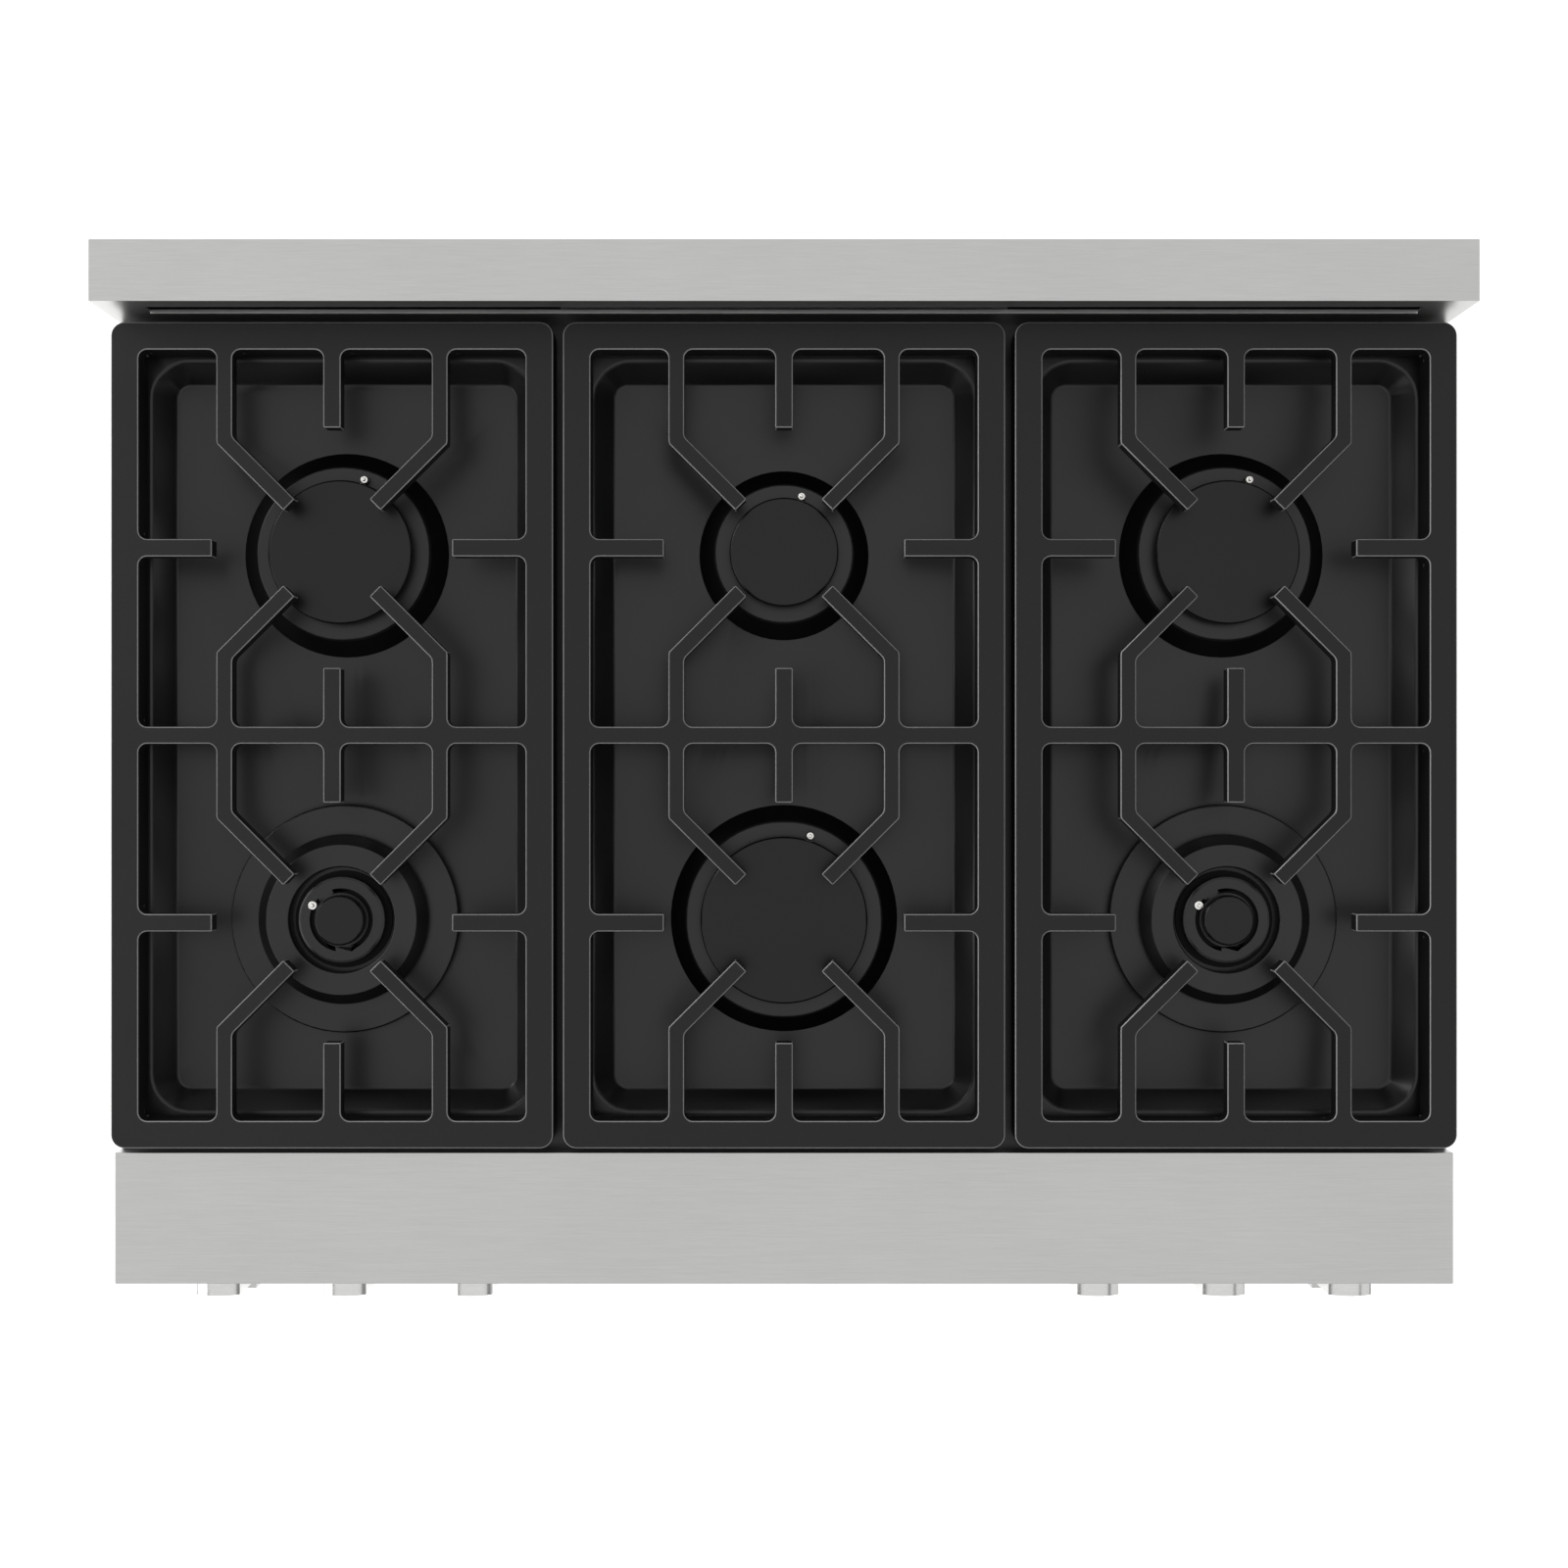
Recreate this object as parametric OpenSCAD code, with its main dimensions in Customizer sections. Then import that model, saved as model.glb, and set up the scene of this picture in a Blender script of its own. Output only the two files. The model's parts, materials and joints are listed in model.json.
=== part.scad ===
/* [Overall] */
// Width across the side panels
range_w = 911; // [860:1:1000]
// Depth from the ledge's front edge to the back of the backguard
body_d = 697; // [670:1:780]
// Height of the front ledge's top above the floor
cook_h = 914; // [880:1:980]

/* [Sheet metal] */
// Stainless sheet of the outer casing
sheet = 1.2; // [0.8:0.1:2]
// Enamelled steel of the cooktop, oven and door liner
enamel_t = 1.5; // [1:0.1:2.5]
// Clearance between sheets that lap or nest
lap_gap = 0.3; // [0.2:0.05:0.5]

/* [Front ledge and control panel] */
// Depth of the front ledge
ledge_d = 89.4; // [70:0.1:110]
// Height of the ledge's front lip
ledge_lip = 26; // [20:1:32]
// How far the control panel and the door stand back from the ledge's front
face_in = 12; // [6:1:16]
// Height of the control panel
panel_h = 88; // [80:1:110]
// Width of the touch display
display_w = 240; // [160:1:300]
// Height of the touch display
display_h = 54; // [40:1:60]
// Thickness of the touch display
display_t = 6; // [4:1:10]

/* [Knobs] */
// Distance from the middle to the nearest knob
knob_first = 218.6; // [190:0.1:230]
// Spacing of the knobs
knob_pitch = 88.3; // [75:0.1:95]
// Knob centre below the ledge's top
knob_drop = 60; // [56:1:66]
// Diameter of the knob's skirt
knob_skirt_d = 50; // [44:1:54]
// Width of the knob's grip
grip_w = 30; // [16:1:34]
// Height of the knob's grip
grip_h = 50; // [40:1:54]
// How far the knob stands out past the ledge
knob_out = 16.6; // [12:0.1:24]
// Thickness of the knob's skirt
skirt_t = 6; // [4:1:8]
// Push travel of a knob
push_travel = 4; // [3:0.5:5]
// Diameter of a valve stem
stem_d = 8; // [6:0.5:10]

/* [Cooktop] */
// Drop from the ledge's top to the cooktop's rim
rim_drop = 16; // [10:0.5:20]
// Depth of the wells
well_h = 17; // [12:0.5:22]
// Well edge inside the grate's edge, sideways
well_inset_x = 17.5; // [15:0.5:24]
// Well edge inside the grate's edge, front and back
well_inset_y = 20; // [16:0.5:26]
// Run of a well's sloping wall
well_slope = 13; // [8:0.5:16]
// Corner radius of a well at the rim
well_r = 26; // [16:1:34]
// Corner radius of a well at its floor
well_floor_r = 10; // [6:1:14]
// Distance between the front and rear burners
burner_gap = 252; // [230:1:262]

/* [Grates] */
// Top of the grates above the ledge's top
grate_rise = 19; // [12:0.5:24]
// Space at the outer side of the outer grates
grate_edge = 3.2; // [2:0.1:6]
// Gap between two grates
grate_gap = 6.8; // [4:0.1:10]
// Gap in front of and behind the grates
grate_gap_y = 6; // [4:0.1:9]
// Width of a grate's outer frame
frame_bar = 18.3; // [14:0.1:22]
// Height of a grate's outer frame
frame_h = 24; // [18:1:28]
// Width of the crossbar between the burners
cross_bar = 11.2; // [9:0.1:14]
// Width of the bent bars
bent_bar = 10.4; // [8:0.1:12]
// Width of the straight fingers
finger_bar = 11.6; // [8:0.1:13]
// Height of the fingers
finger_h = 14; // [10:1:18]
// Distance of the bent bars from the burner's centre line
bent_x = 72.4; // [64:0.1:80]
// Bare radius inside the bent bars' tips
tip_r = 41; // [34:0.5:48]
// Distance from the burner's centre to the straight fingers' tips
finger_tip = 80.8; // [70:0.1:90]
// Fillet where two bars meet
bar_fillet = 6; // [3:0.5:7]
// Corner radius of a grate
grate_r = 9; // [5:0.5:14]
// Diameter of a grate's rubber foot
grate_foot_d = 12; // [8:0.5:14]

/* [Burners] */
// Cap diameter of the rear left and rear right burners
cap_side_d = 98.5; // [80:0.5:110]
// Cap diameter of the rear middle burner
cap_small_d = 74.5; // [60:0.5:90]
// Cap diameter of the front middle burner
cap_large_d = 114.3; // [95:0.1:120]
// Width of the burner head's rim that shows round a cap
head_rim = 10; // [8:0.5:11]
// Width of the burner base's rim that shows round the head
base_rim = 11.5; // [9:0.5:14]
// Top of the caps below the ledge's top
cap_drop = 7; // [5:0.5:9]
// Thickness of a cap
cap_t = 6; // [4:0.5:8]
// Top of the burner head's rim below the ledge's top
head_drop = 19; // [17:0.5:21]
// Height of a burner base above the well's floor
base_rise = 11; // [9:0.5:12]
// Diameter of the power burner's base disc
power_disc_d = 158; // [140:1:170]
// Height of the power burner's base disc above the well's floor
disc_rise = 8; // [5:0.5:10]
// Diameter of the power burner's ring cap at its foot
ring_d = 117; // [105:1:125]
// Diameter of the ring cap's hole
ring_bore_d = 72; // [66:1:76]
// Top of the ring cap below the ledge's top
ring_drop = 12; // [10:0.5:14]
// Diameter of the power burner's inner head
inner_head_d = 59; // [50:1:62]
// Diameter of the power burner's inner cap
inner_cap_d = 34.3; // [30:0.1:38]
// Top of the inner cap below the ledge's top
inner_cap_drop = 4; // [2:0.5:6]
// Diameter of the cup under a burner, below the cooktop
cup_d = 44; // [38:1:50]

/* [Backguard] */
// Thickness of the backguard
guard_t = 40.5; // [34:0.1:60]
// Height of the backguard above the ledge's top
guard_h = 56.3; // [45:0.1:120]
// Width of the vent slot
slot_w = 848; // [600:1:860]
// Height of the vent slot
slot_h = 13; // [8:0.5:20]
// Vent slot's lower edge above the ledge's top
slot_z = 25; // [18:0.5:30]
// Spacing of the backguard screws
guard_screw_pitch = 300; // [200:1:380]
// Head diameter of a backguard screw
guard_screw_d = 9; // [7:0.5:10]
// Head height of a backguard screw
guard_screw_h = 2.4; // [1.6:0.1:3.2]

/* [Door] */
// Thickness of the door
door_t = 46; // [42:1:56]
// Gap between the door and the front frame
door_gap = 4; // [3.5:0.1:5]
// Door's lower edge above the floor
door_z = 152; // [145:1:170]
// Gap between the door and the control panel
door_top_gap = 4; // [3:0.5:6]
// Width of the door's window
window_w = 600; // [400:1:660]
// Height of the door's window
window_h = 260; // [180:1:300]
// Thickness of the door's glass panes
glass_t = 4; // [3:0.5:5]
// How far the handle's brackets stand out past the ledge
handle_out = 37.6; // [32:0.1:50]
// Diameter of the handle's bar
handle_d = 18; // [14:1:22]
// Handle's centre below the ledge's top
handle_drop = 163; // [158:1:190]
// Distance from the middle to a handle bracket
bracket_x = 400; // [340:1:410]
// Width of a handle bracket
bracket_w = 9; // [7:0.5:14]
// Height of a handle bracket
bracket_h = 26; // [22:1:30]
// Diameter of the hinge pins
hinge_pin_d = 8; // [6:0.5:10]
// Distance from the middle to a hinge
hinge_x = 360; // [320:1:380]

/* [Oven] */
// Space between the oven's inner wall and the side panel
oven_side = 64; // [50:1:80]
// Depth inside the oven
oven_d = 488; // [460:1:500]
// Height of the oven floor's underside above the base
oven_floor_h = 140; // [130:1:160]
// Height inside the oven above its floor
oven_h = 448; // [420:1:460]
// Height of the bake burner's chamber
chamber_h = 60; // [50:1:70]
// Thickness of the insulation
wool_t = 34; // [24:1:40]
// Wire diameter of the rack's frame
rack_wire = 7; // [5:0.5:8]
// Wire diameter of the rack's cross wires
rack_thin = 4; // [3:0.5:5]
// Wire diameter of the rack guides
guide_wire = 6; // [4:0.5:8]
// Spacing of the rack levels
level_pitch = 58; // [50:1:62]
// Free travel of a rack behind the closed door
rack_travel = 26; // [10:1:30]
// Diameter of the convection fan
fan_d = 150; // [120:1:170]

/* [Base and feet] */
// Height of the base above the floor
base_z = 100; // [90:1:120]
// Outer diameter of a leg sleeve
sleeve_d = 50; // [42:1:56]
// Wall of a leg sleeve
sleeve_wall = 3; // [2:0.5:4]
// Diameter of a foot's pad
foot_d = 46; // [40:1:50]
// Leg's centre in from the side
leg_in_x = 60; // [45:1:90]
// Leg's centre in from the front frame and the back
leg_in_y = 60; // [45:1:90]
// Outer radius of the gas inlet pipe
inlet_r = 10.67; // [8:0.01:12]
// How far the gas inlet stands out of the rear panel
inlet_l = 22; // [18:1:26]
// Radius of the power cord's hole
cord_hole_r = 11; // [8:0.5:14]

/* [Hidden] */
$fn = 64;

// Planes from front to back, with the origin in the middle of the whole depth
total_d = handle_out + body_d + guard_screw_h;
front_y = handle_out - total_d / 2;
rear_y = front_y + body_d;
face_y = front_y + face_in;
door_back_y = face_y + door_t;
frame_y = door_back_y + door_gap;
ledge_back_y = front_y + ledge_d;
guard_front_y = rear_y - guard_t;
side_end_y = rear_y - 3;
rear_panel_y = side_end_y - 3 - inlet_l;

// Heights above the floor
panel_top = cook_h - ledge_lip;
panel_z = panel_top - panel_h;
door_top = panel_z - door_top_gap;
rim_z = cook_h - rim_drop;
well_z = rim_z - well_h;
grate_z = cook_h + grate_rise;
knob_z = cook_h - knob_drop;
handle_z = cook_h - handle_drop;
oven_z = base_z + oven_floor_h;
oven_top = oven_z + oven_h;

// Widths
half_w = range_w / 2;
in_w = half_w - sheet;
oven_w = range_w - 2 * oven_side;

// Grates and burners
grate_w = (range_w - 2 * grate_edge - 2 * grate_gap) / 3;
grate_d = guard_front_y - ledge_back_y - 2 * grate_gap_y;
grate_y = (guard_front_y + ledge_back_y) / 2;
grate_pitch = grate_w + grate_gap;
rear_burner_y = grate_y + burner_gap / 2;
front_burner_y = grate_y - burner_gap / 2;
well_w = grate_w - 2 * well_inset_x;
well_d = grate_d - 2 * well_inset_y;
head_under_z = well_z + base_rise;
cap_under_z = cook_h - cap_drop - cap_t;
cup_depth = 39;
cup_z = well_z - cup_depth;
pan_hole_d = cup_d + 3;
disc_z = well_z + disc_rise;
ring_top_z = cook_h - ring_drop;
ring_chamfer = 6;
seat_gap = 0.3;

// Standard burners: place across, place in depth, cap diameter
burners = [
    [-grate_pitch, rear_burner_y, cap_side_d],
    [0, rear_burner_y, cap_small_d],
    [grate_pitch, rear_burner_y, cap_side_d],
    [0, front_burner_y, cap_large_d]
];
power_x = [-grate_pitch, grate_pitch];

// Spark electrodes beside the caps and in the power burners' inner heads
spark_d = 5;
spark_lean = 17.4;
spark_gap = 0.7;
inner_spark_x = -19.4;
inner_spark_y = 10;

// Knobs, valves and the pipe behind the control panel
knob_x = [for (i = [-3:-1]) (i + 1) * knob_pitch - knob_first, for (i = [0:2]) i * knob_pitch + knob_first];
knob_front_y = front_y - knob_out;
knob_back_y = face_y - push_travel - 1.5;
stem_socket = 10;
stem_gap = 0.3;
valve_w = 26;
valve_front_y = face_y + sheet + 12;
valve_l = 34;
stem_end_y = valve_front_y + 10;
pipe_w = 24;
pipe_z = knob_z - valve_w / 2 - pipe_w / 2;
tube_d = 8;
inlet_x = in_w - 20;
inlet_z = pipe_z;
feed_lane = [rear_burner_y, front_burner_y, rear_burner_y, front_burner_y, front_burner_y, rear_burner_y];
feed_burner_x = [-grate_pitch, -grate_pitch, 0, 0, grate_pitch, grate_pitch];

// Oven
liner_z = oven_z - chamber_h;
oven_front_y = frame_y + enamel_t;
oven_back_y = oven_front_y + oven_d;
fan_z = oven_z + oven_h * 0.5;
fan_room = 34;
fan_shaft_d = 8;
motor_d = 84;
light_body_d = 36;
rack_front_y = door_back_y + rack_travel + 6 + rack_wire / 2;
rack_back_y = oven_back_y - fan_room - 8;
guide_x = oven_w / 2 - 12;
rack_in = 1.5;
first_level = oven_z + 52;
level_count = 6;
rack_lift = sqrt(pow((guide_wire + rack_wire) / 2, 2) - pow(rack_in, 2)) + seat_gap;
lower_level = 1;
upper_level = 4;
flue_w = 300;
flue_d = 22;
flue_low_y = rear_panel_y - sheet - 3 - flue_d;
flue_y = guard_front_y + sheet + 2;
rear_panel_top = well_z - 40;
louvre_side = 6;
louvre_pitch = 40;
louvre_w = 22;
louvre_h = 6;
louvre_z = well_z - 60;
cord_x = 60 - inlet_x;
cord_z = base_z + 90;
light_x = oven_w * 0.36;
light_z = oven_top - 90;
burner_tube_z = liner_z + chamber_h * 0.45;

// Door
door_w = range_w - 2;
door_h = door_top - door_z;
skin_fold = 30;
hinge_up = 10;
hinge_in = 14;
axis_y = door_back_y - hinge_in;
axis_z = door_z + hinge_up;
lug_w = 18;
lug_r = 8;
lug_gap = 2;
window_z = door_z + door_h * 0.5;
pane_margin = 20;

// Base
sleeve_z = 30;
foot_post_d = sleeve_d - 2 * sleeve_wall - 2;
foot_pad_t = 12;
leg_x = half_w - leg_in_x;
leg_front_y = frame_y + leg_in_y;
leg_rear_y = rear_panel_y - leg_in_y;

steel = "#c4c4c2";
dark_steel = "#8c8c8a";
enamel = "#3a3a3c";
black_enamel = "#141416";
cast_iron = "#3c3c3c";
wire_chrome = "#d4d4d4";
alloy = "#9a9a98";

module box(x0, x1, y0, y1, z0, z1) {
    translate([x0, y0, z0]) cube([x1 - x0, y1 - y0, z1 - z0]);
}

module rounded(w, d, r) {
    for (x = [-1, 1]) translate([x * (w / 2 - r), 0]) square([2 * r, d - 2 * r], center = true);
    square([w - 2 * r, d], center = true);
    for (x = [-1, 1], y = [-1, 1]) translate([x * (w / 2 - r), y * (d / 2 - r)]) circle(r);
}

module along_y(d, y0, y1) {
    translate([0, y0, 0]) rotate([-90, 0, 0]) cylinder(d = d, h = y1 - y0);
}

module along_x(d, x0, x1) {
    translate([x0, 0, 0]) rotate([0, 90, 0]) cylinder(d = d, h = x1 - x0);
}

// Base, casing and feet

module leg_places() {
    for (x = [-leg_x, leg_x], y = [leg_front_y, leg_rear_y]) translate([x, y, 0]) children();
}

module base_frame() {
    lip = 30;
    color(dark_steel) {
        difference() {
            box(-in_w + lap_gap, in_w - lap_gap, frame_y, rear_panel_y - sheet, base_z, base_z + lip);
            box(-in_w + 2, in_w - 2, frame_y + enamel_t, rear_panel_y - sheet - enamel_t,
                base_z + enamel_t, base_z + lip + 1);
        }
        leg_places() difference() {
            translate([0, 0, sleeve_z]) cylinder(d = sleeve_d, h = base_z - sleeve_z);
            translate([0, 0, sleeve_z - 1]) cylinder(d = sleeve_d - 2 * sleeve_wall, h = base_z - sleeve_z);
        }
    }
}

module foot_at(x, y) {
    post_top = base_z - 1 - seat_gap;
    color(dark_steel) translate([x, y, 0]) {
        rotate_extrude() polygon([
            [0, 0], [foot_d / 2 - 2, 0], [foot_d / 2, 2], [foot_d / 2, foot_pad_t - 3],
            [foot_d / 2 - 3, foot_pad_t], [foot_post_d / 2, foot_pad_t], [foot_post_d / 2, post_top],
            [0, post_top]
        ]);
    }
}

module side_panel(s) {
    fold = 18;
    inlet_notch = 20;
    color(steel) scale([s, 1, 1]) {
        box(in_w, half_w, frame_y, side_end_y, base_z, rim_z);
        difference() {
            box(in_w - fold, in_w + sheet / 2, side_end_y - sheet, side_end_y, base_z, rim_z - 20);
            box(in_w - fold - 1, in_w - 1, side_end_y - sheet - 1, side_end_y + 1,
                inlet_z - inlet_notch, inlet_z + inlet_notch);
        }
        box(in_w - fold, in_w + sheet / 2, frame_y + enamel_t + 20, side_end_y, base_z - sheet, base_z);
    }
}

module rear_panel() {
    y0 = rear_panel_y - sheet;
    color(dark_steel) difference() {
        box(-in_w + lap_gap, in_w - lap_gap, y0, rear_panel_y, base_z, rear_panel_top);
        translate([inlet_x, 0, inlet_z]) along_y(2 * inlet_r + 4, y0 - 1, rear_panel_y + 1);
        translate([cord_x, 0, cord_z]) along_y(2 * cord_hole_r, y0 - 1, rear_panel_y + 1);
        for (i = [-louvre_side:louvre_side]) translate([i * louvre_pitch, 0, louvre_z])
            box(-louvre_w / 2, louvre_w / 2, y0 - 1, rear_panel_y + 1, -louvre_h / 2, louvre_h / 2);
    }
}

module front_frame() {
    frame_top = panel_z - lap_gap;
    color(dark_steel) {
        difference() {
            box(-in_w + lap_gap, in_w - lap_gap, frame_y, frame_y + enamel_t, base_z + 30, frame_top);
            box(-oven_w / 2, oven_w / 2, frame_y - 1, frame_y + enamel_t + 1, liner_z, oven_top);
        }
        for (s = [-1, 1]) translate([s * hinge_x, 0, axis_z]) difference() {
            union() {
                box(-lug_w / 2, lug_w / 2, axis_y, frame_y + enamel_t / 2, -lug_r, lug_r);
                translate([0, axis_y, 0]) along_x(2 * lug_r, -lug_w / 2, lug_w / 2);
            }
            translate([0, axis_y, 0]) along_x(hinge_pin_d + 2 * lap_gap, -lug_w, lug_w);
        }
    }
}

module kick_panel() {
    kick_z = 36;
    kick_top = base_z + 26;
    fold = 14;
    w = in_w - 1;
    color(steel) {
        box(-w, w, frame_y - sheet, frame_y, kick_z, kick_top);
        box(-w, w, frame_y - sheet / 2, frame_y + fold, kick_z, kick_z + sheet);
    }
}

// Oven

module oven_liner() {
    shelf = 12;
    color(enamel) {
        difference() {
            box(-oven_w / 2 - enamel_t, oven_w / 2 + enamel_t, oven_front_y, oven_back_y + enamel_t,
                liner_z - enamel_t, oven_top + enamel_t);
            box(-oven_w / 2, oven_w / 2, oven_front_y - 1, oven_back_y, liner_z, oven_top);
            translate([0, 0, fan_z]) along_y(fan_shaft_d + 8, oven_back_y - 5, oven_back_y + 5);
            for (s = [-1, 1]) translate([s * light_x, 0, light_z])
                along_y(light_body_d + 4, oven_back_y - 5, oven_back_y + 5);
            box(-flue_w / 2 + 2, flue_w / 2 - 2, oven_back_y - 5, oven_back_y + 5,
                oven_top - 24, oven_top - 8);
        }
        difference() {
            box(-oven_w / 2, oven_w / 2, oven_front_y, oven_back_y, oven_z - enamel_t, oven_z);
            for (s = [-1, 1], i = [-3:3])
                translate([s * (oven_w / 2 - 22), (oven_front_y + oven_back_y) / 2 + i * 62, oven_z])
                    cube([14, 44, 4 * enamel_t], center = true);
        }
    }
}

module oven_insulation() {
    out = enamel_t + lap_gap;
    color("#d8d2c0") difference() {
        box(-oven_w / 2 - out - wool_t, oven_w / 2 + out + wool_t, oven_front_y + 6,
            oven_back_y + out + wool_t, liner_z - out - wool_t, oven_top + out + wool_t);
        box(-oven_w / 2 - out, oven_w / 2 + out, oven_front_y, oven_back_y + out,
            liner_z - out, oven_top + out);
        translate([0, 0, fan_z]) along_y(motor_d + 36, oven_back_y, oven_back_y + 2 * wool_t);
        for (s = [-1, 1]) translate([s * light_x, 0, light_z])
            along_y(light_body_d + 20, oven_back_y, oven_back_y + 2 * wool_t);
        box(-flue_w / 2 - 4, flue_w / 2 + 4, oven_back_y, oven_back_y + 2 * wool_t, oven_top - 30,
            oven_top + wool_t * 2);
        translate([0, 0, burner_tube_z]) along_y(40, oven_back_y, oven_back_y + 2 * wool_t);
    }
}

module rack_guides() {
    y0 = rack_front_y - rack_travel;
    y1 = rack_back_y + 6;
    post = [y0 + 50, (y0 + y1) / 2, y1 - 50];
    post_x = guide_x + guide_wire / 2 + 2.5;
    top = first_level + (level_count - 1) * level_pitch;
    color(wire_chrome) for (s = [-1, 1]) {
        for (y = post) {
            translate([s * post_x, y, first_level - 20])
                cylinder(d = guide_wire, h = top - first_level + 40);
            for (z = [first_level - 12, top + 12]) translate([0, y, z])
                along_x(guide_wire, s > 0 ? post_x : -oven_w / 2, s > 0 ? oven_w / 2 : -post_x);
        }
        for (i = [0:level_count - 1]) translate([s * guide_x, 0, first_level + i * level_pitch])
            along_y(guide_wire, y0, y1);
    }
}

module oven_rack(level) {
    z = first_level + level * level_pitch + rack_lift;
    w = 2 * (guide_x - rack_in);
    wires = 27;
    color(wire_chrome) translate([0, 0, z]) {
        for (s = [-1, 1]) translate([s * w / 2, 0, 0]) along_y(rack_wire, rack_front_y, rack_back_y);
        for (y = [rack_front_y, (rack_front_y + rack_back_y) / 2, rack_back_y]) translate([0, y, 0])
            along_x(rack_wire, -w / 2, w / 2);
        for (x = [-w / 2, w / 2], y = [rack_front_y, rack_back_y]) translate([x, y, 0])
            sphere(d = rack_wire);
        for (i = [1:wires]) translate([-w / 2 + i * w / (wires + 1), 0, (rack_wire - rack_thin) / 2])
            along_y(rack_thin, rack_front_y, rack_back_y);
    }
}

module door_gasket() {
    rise = door_gap - lap_gap;
    w = oven_w + 14;
    h = oven_top - liner_z + 14;
    rope = 6;
    color("#6a6a68") translate([0, frame_y, (oven_top + liner_z) / 2]) rotate([90, 0, 0])
        linear_extrude(height = rise) difference() {
            rounded(w, h, 12);
            rounded(w - 2 * rope, h - 2 * rope, 12 - rope);
        }
}

module bake_burner() {
    y0 = oven_front_y + 70;
    y1 = oven_back_y - 60;
    tube = 24;
    feed = 20;
    x = oven_w * 0.25;
    stand = 16;
    color(alloy) translate([0, 0, burner_tube_z]) {
        for (s = [-1, 1]) translate([s * x, 0, 0]) along_y(tube, y0, y1);
        for (y = [y0, y1]) translate([0, y, 0]) along_x(tube, -x, x);
        for (s = [-1, 1], y = [y0, y1]) translate([s * x, y, 0]) sphere(d = tube);
        along_y(feed, y1, oven_back_y - lap_gap);
        for (s = [-1, 1])
            box(s * x - stand / 2, s * x + stand / 2, y0 + 60, y0 + 60 + stand, liner_z - burner_tube_z, 0);
    }
}

module broil_burner() {
    w = 420;
    d = 300;
    t = 20;
    edge = 12;
    hang = 8;
    post_in = 30;
    y = (oven_front_y + oven_back_y) / 2 - 20;
    under = oven_top - hang - t;
    color(alloy) {
        difference() {
            translate([0, y, under + t / 2]) cube([w, d, t], center = true);
            translate([0, y, under]) cube([w - 2 * edge, d - 2 * edge, 8], center = true);
        }
        for (s = [-1, 1], v = [-1, 1])
            translate([s * (w / 2 - post_in), y + v * (d / 2 - post_in), oven_top - hang - 1])
                cylinder(d = 14, h = hang + 1);
    }
}

module fan_cover() {
    w = 300;
    wall = 1.2;
    y0 = oven_back_y - fan_room;
    color(enamel) difference() {
        box(-w / 2, w / 2, y0, oven_back_y, fan_z - w / 2, fan_z + w / 2);
        box(-w / 2 + wall, w / 2 - wall, y0 + wall, oven_back_y + 1,
            fan_z - w / 2 + wall, fan_z + w / 2 - wall);
        for (a = [0:30:330]) translate([0, y0, fan_z]) rotate([0, a, 0]) translate([0, 0, 50])
            cube([6, 10, 50], center = true);
        for (s = [-1, 1], i = [-4:4]) translate([s * w / 2, oven_back_y - fan_room / 2, fan_z + i * 30])
            cube([10, 14, 16], center = true);
    }
}

module convection_fan() {
    y1 = oven_back_y - 6;
    blade_d = 20;
    color(alloy) translate([0, 0, fan_z]) {
        along_y(fan_d, y1 - 1.2, y1);
        along_y(26, y1 - blade_d, y1);
        along_y(fan_shaft_d, y1 - 1, oven_back_y + enamel_t + 24);
        for (a = [0:30:330]) rotate([0, a, 0]) translate([0, y1 - blade_d / 2, fan_d / 2 - 14])
            rotate([0, 28, 0]) cube([1.2, blade_d, 24], center = true);
    }
}

module fan_motor() {
    y0 = oven_back_y + enamel_t;
    color(dark_steel) translate([0, 0, fan_z]) {
        difference() {
            union() {
                along_y(motor_d, y0 + 4, rear_panel_y - sheet - 6);
                for (a = [45:90:315]) rotate([0, a, 0]) translate([0, 0, 48]) along_y(10, y0, y0 + 10);
                for (a = [45, 135]) rotate([0, a, 0]) box(-5, 5, y0 + 4, y0 + 10, -50, 50);
            }
            along_y(fan_shaft_d + 2 * lap_gap, y0 - 1, y0 + 26);
        }
    }
}

module oven_lights() {
    color("#e8e4d8") for (s = [-1, 1]) translate([s * light_x, 0, light_z]) {
        along_y(light_body_d + 18, oven_back_y - 4, oven_back_y);
        translate([0, oven_back_y - 4, 0]) rotate([90, 0, 0]) rotate_extrude() difference() {
            intersection() {
                scale([1, 0.55]) circle(d = 46);
                square([30, 30]);
            }
            intersection() {
                scale([1, 0.5]) circle(d = 41);
                square([30, 30]);
            }
        }
        along_y(light_body_d, oven_back_y - 1, oven_back_y + enamel_t + 26);
    }
}

module flue_duct() {
    z0 = oven_top - 26;
    z1 = cook_h + slot_z - 6;
    wall = 1;
    low_back = flue_low_y + flue_d;
    back = flue_y + flue_d;
    jog_z = rear_panel_top + 3;
    jog_h = 16;
    low_top = oven_top - 4;
    hw = flue_w / 2;
    in_hw = hw - wall;
    color(dark_steel) difference() {
        union() {
            box(-hw, hw, oven_back_y + enamel_t, low_back, z0, low_top);
            box(-hw, hw, flue_low_y, low_back, z0, jog_z + jog_h);
            box(-hw, hw, flue_low_y, back, jog_z, jog_z + jog_h);
            box(-hw, hw, flue_y, back, jog_z, z1);
        }
        box(-in_hw, in_hw, oven_back_y, low_back - wall, z0 + wall, low_top - wall);
        box(-in_hw, in_hw, flue_low_y + wall, low_back - wall, z0 + wall, jog_z + jog_h - wall);
        box(-in_hw, in_hw, flue_low_y + wall, back - wall, jog_z + wall, jog_z + jog_h - wall);
        box(-in_hw, in_hw, flue_y + wall, back - wall, jog_z + wall, z1 + 1);
    }
}

// Cooktop

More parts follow.
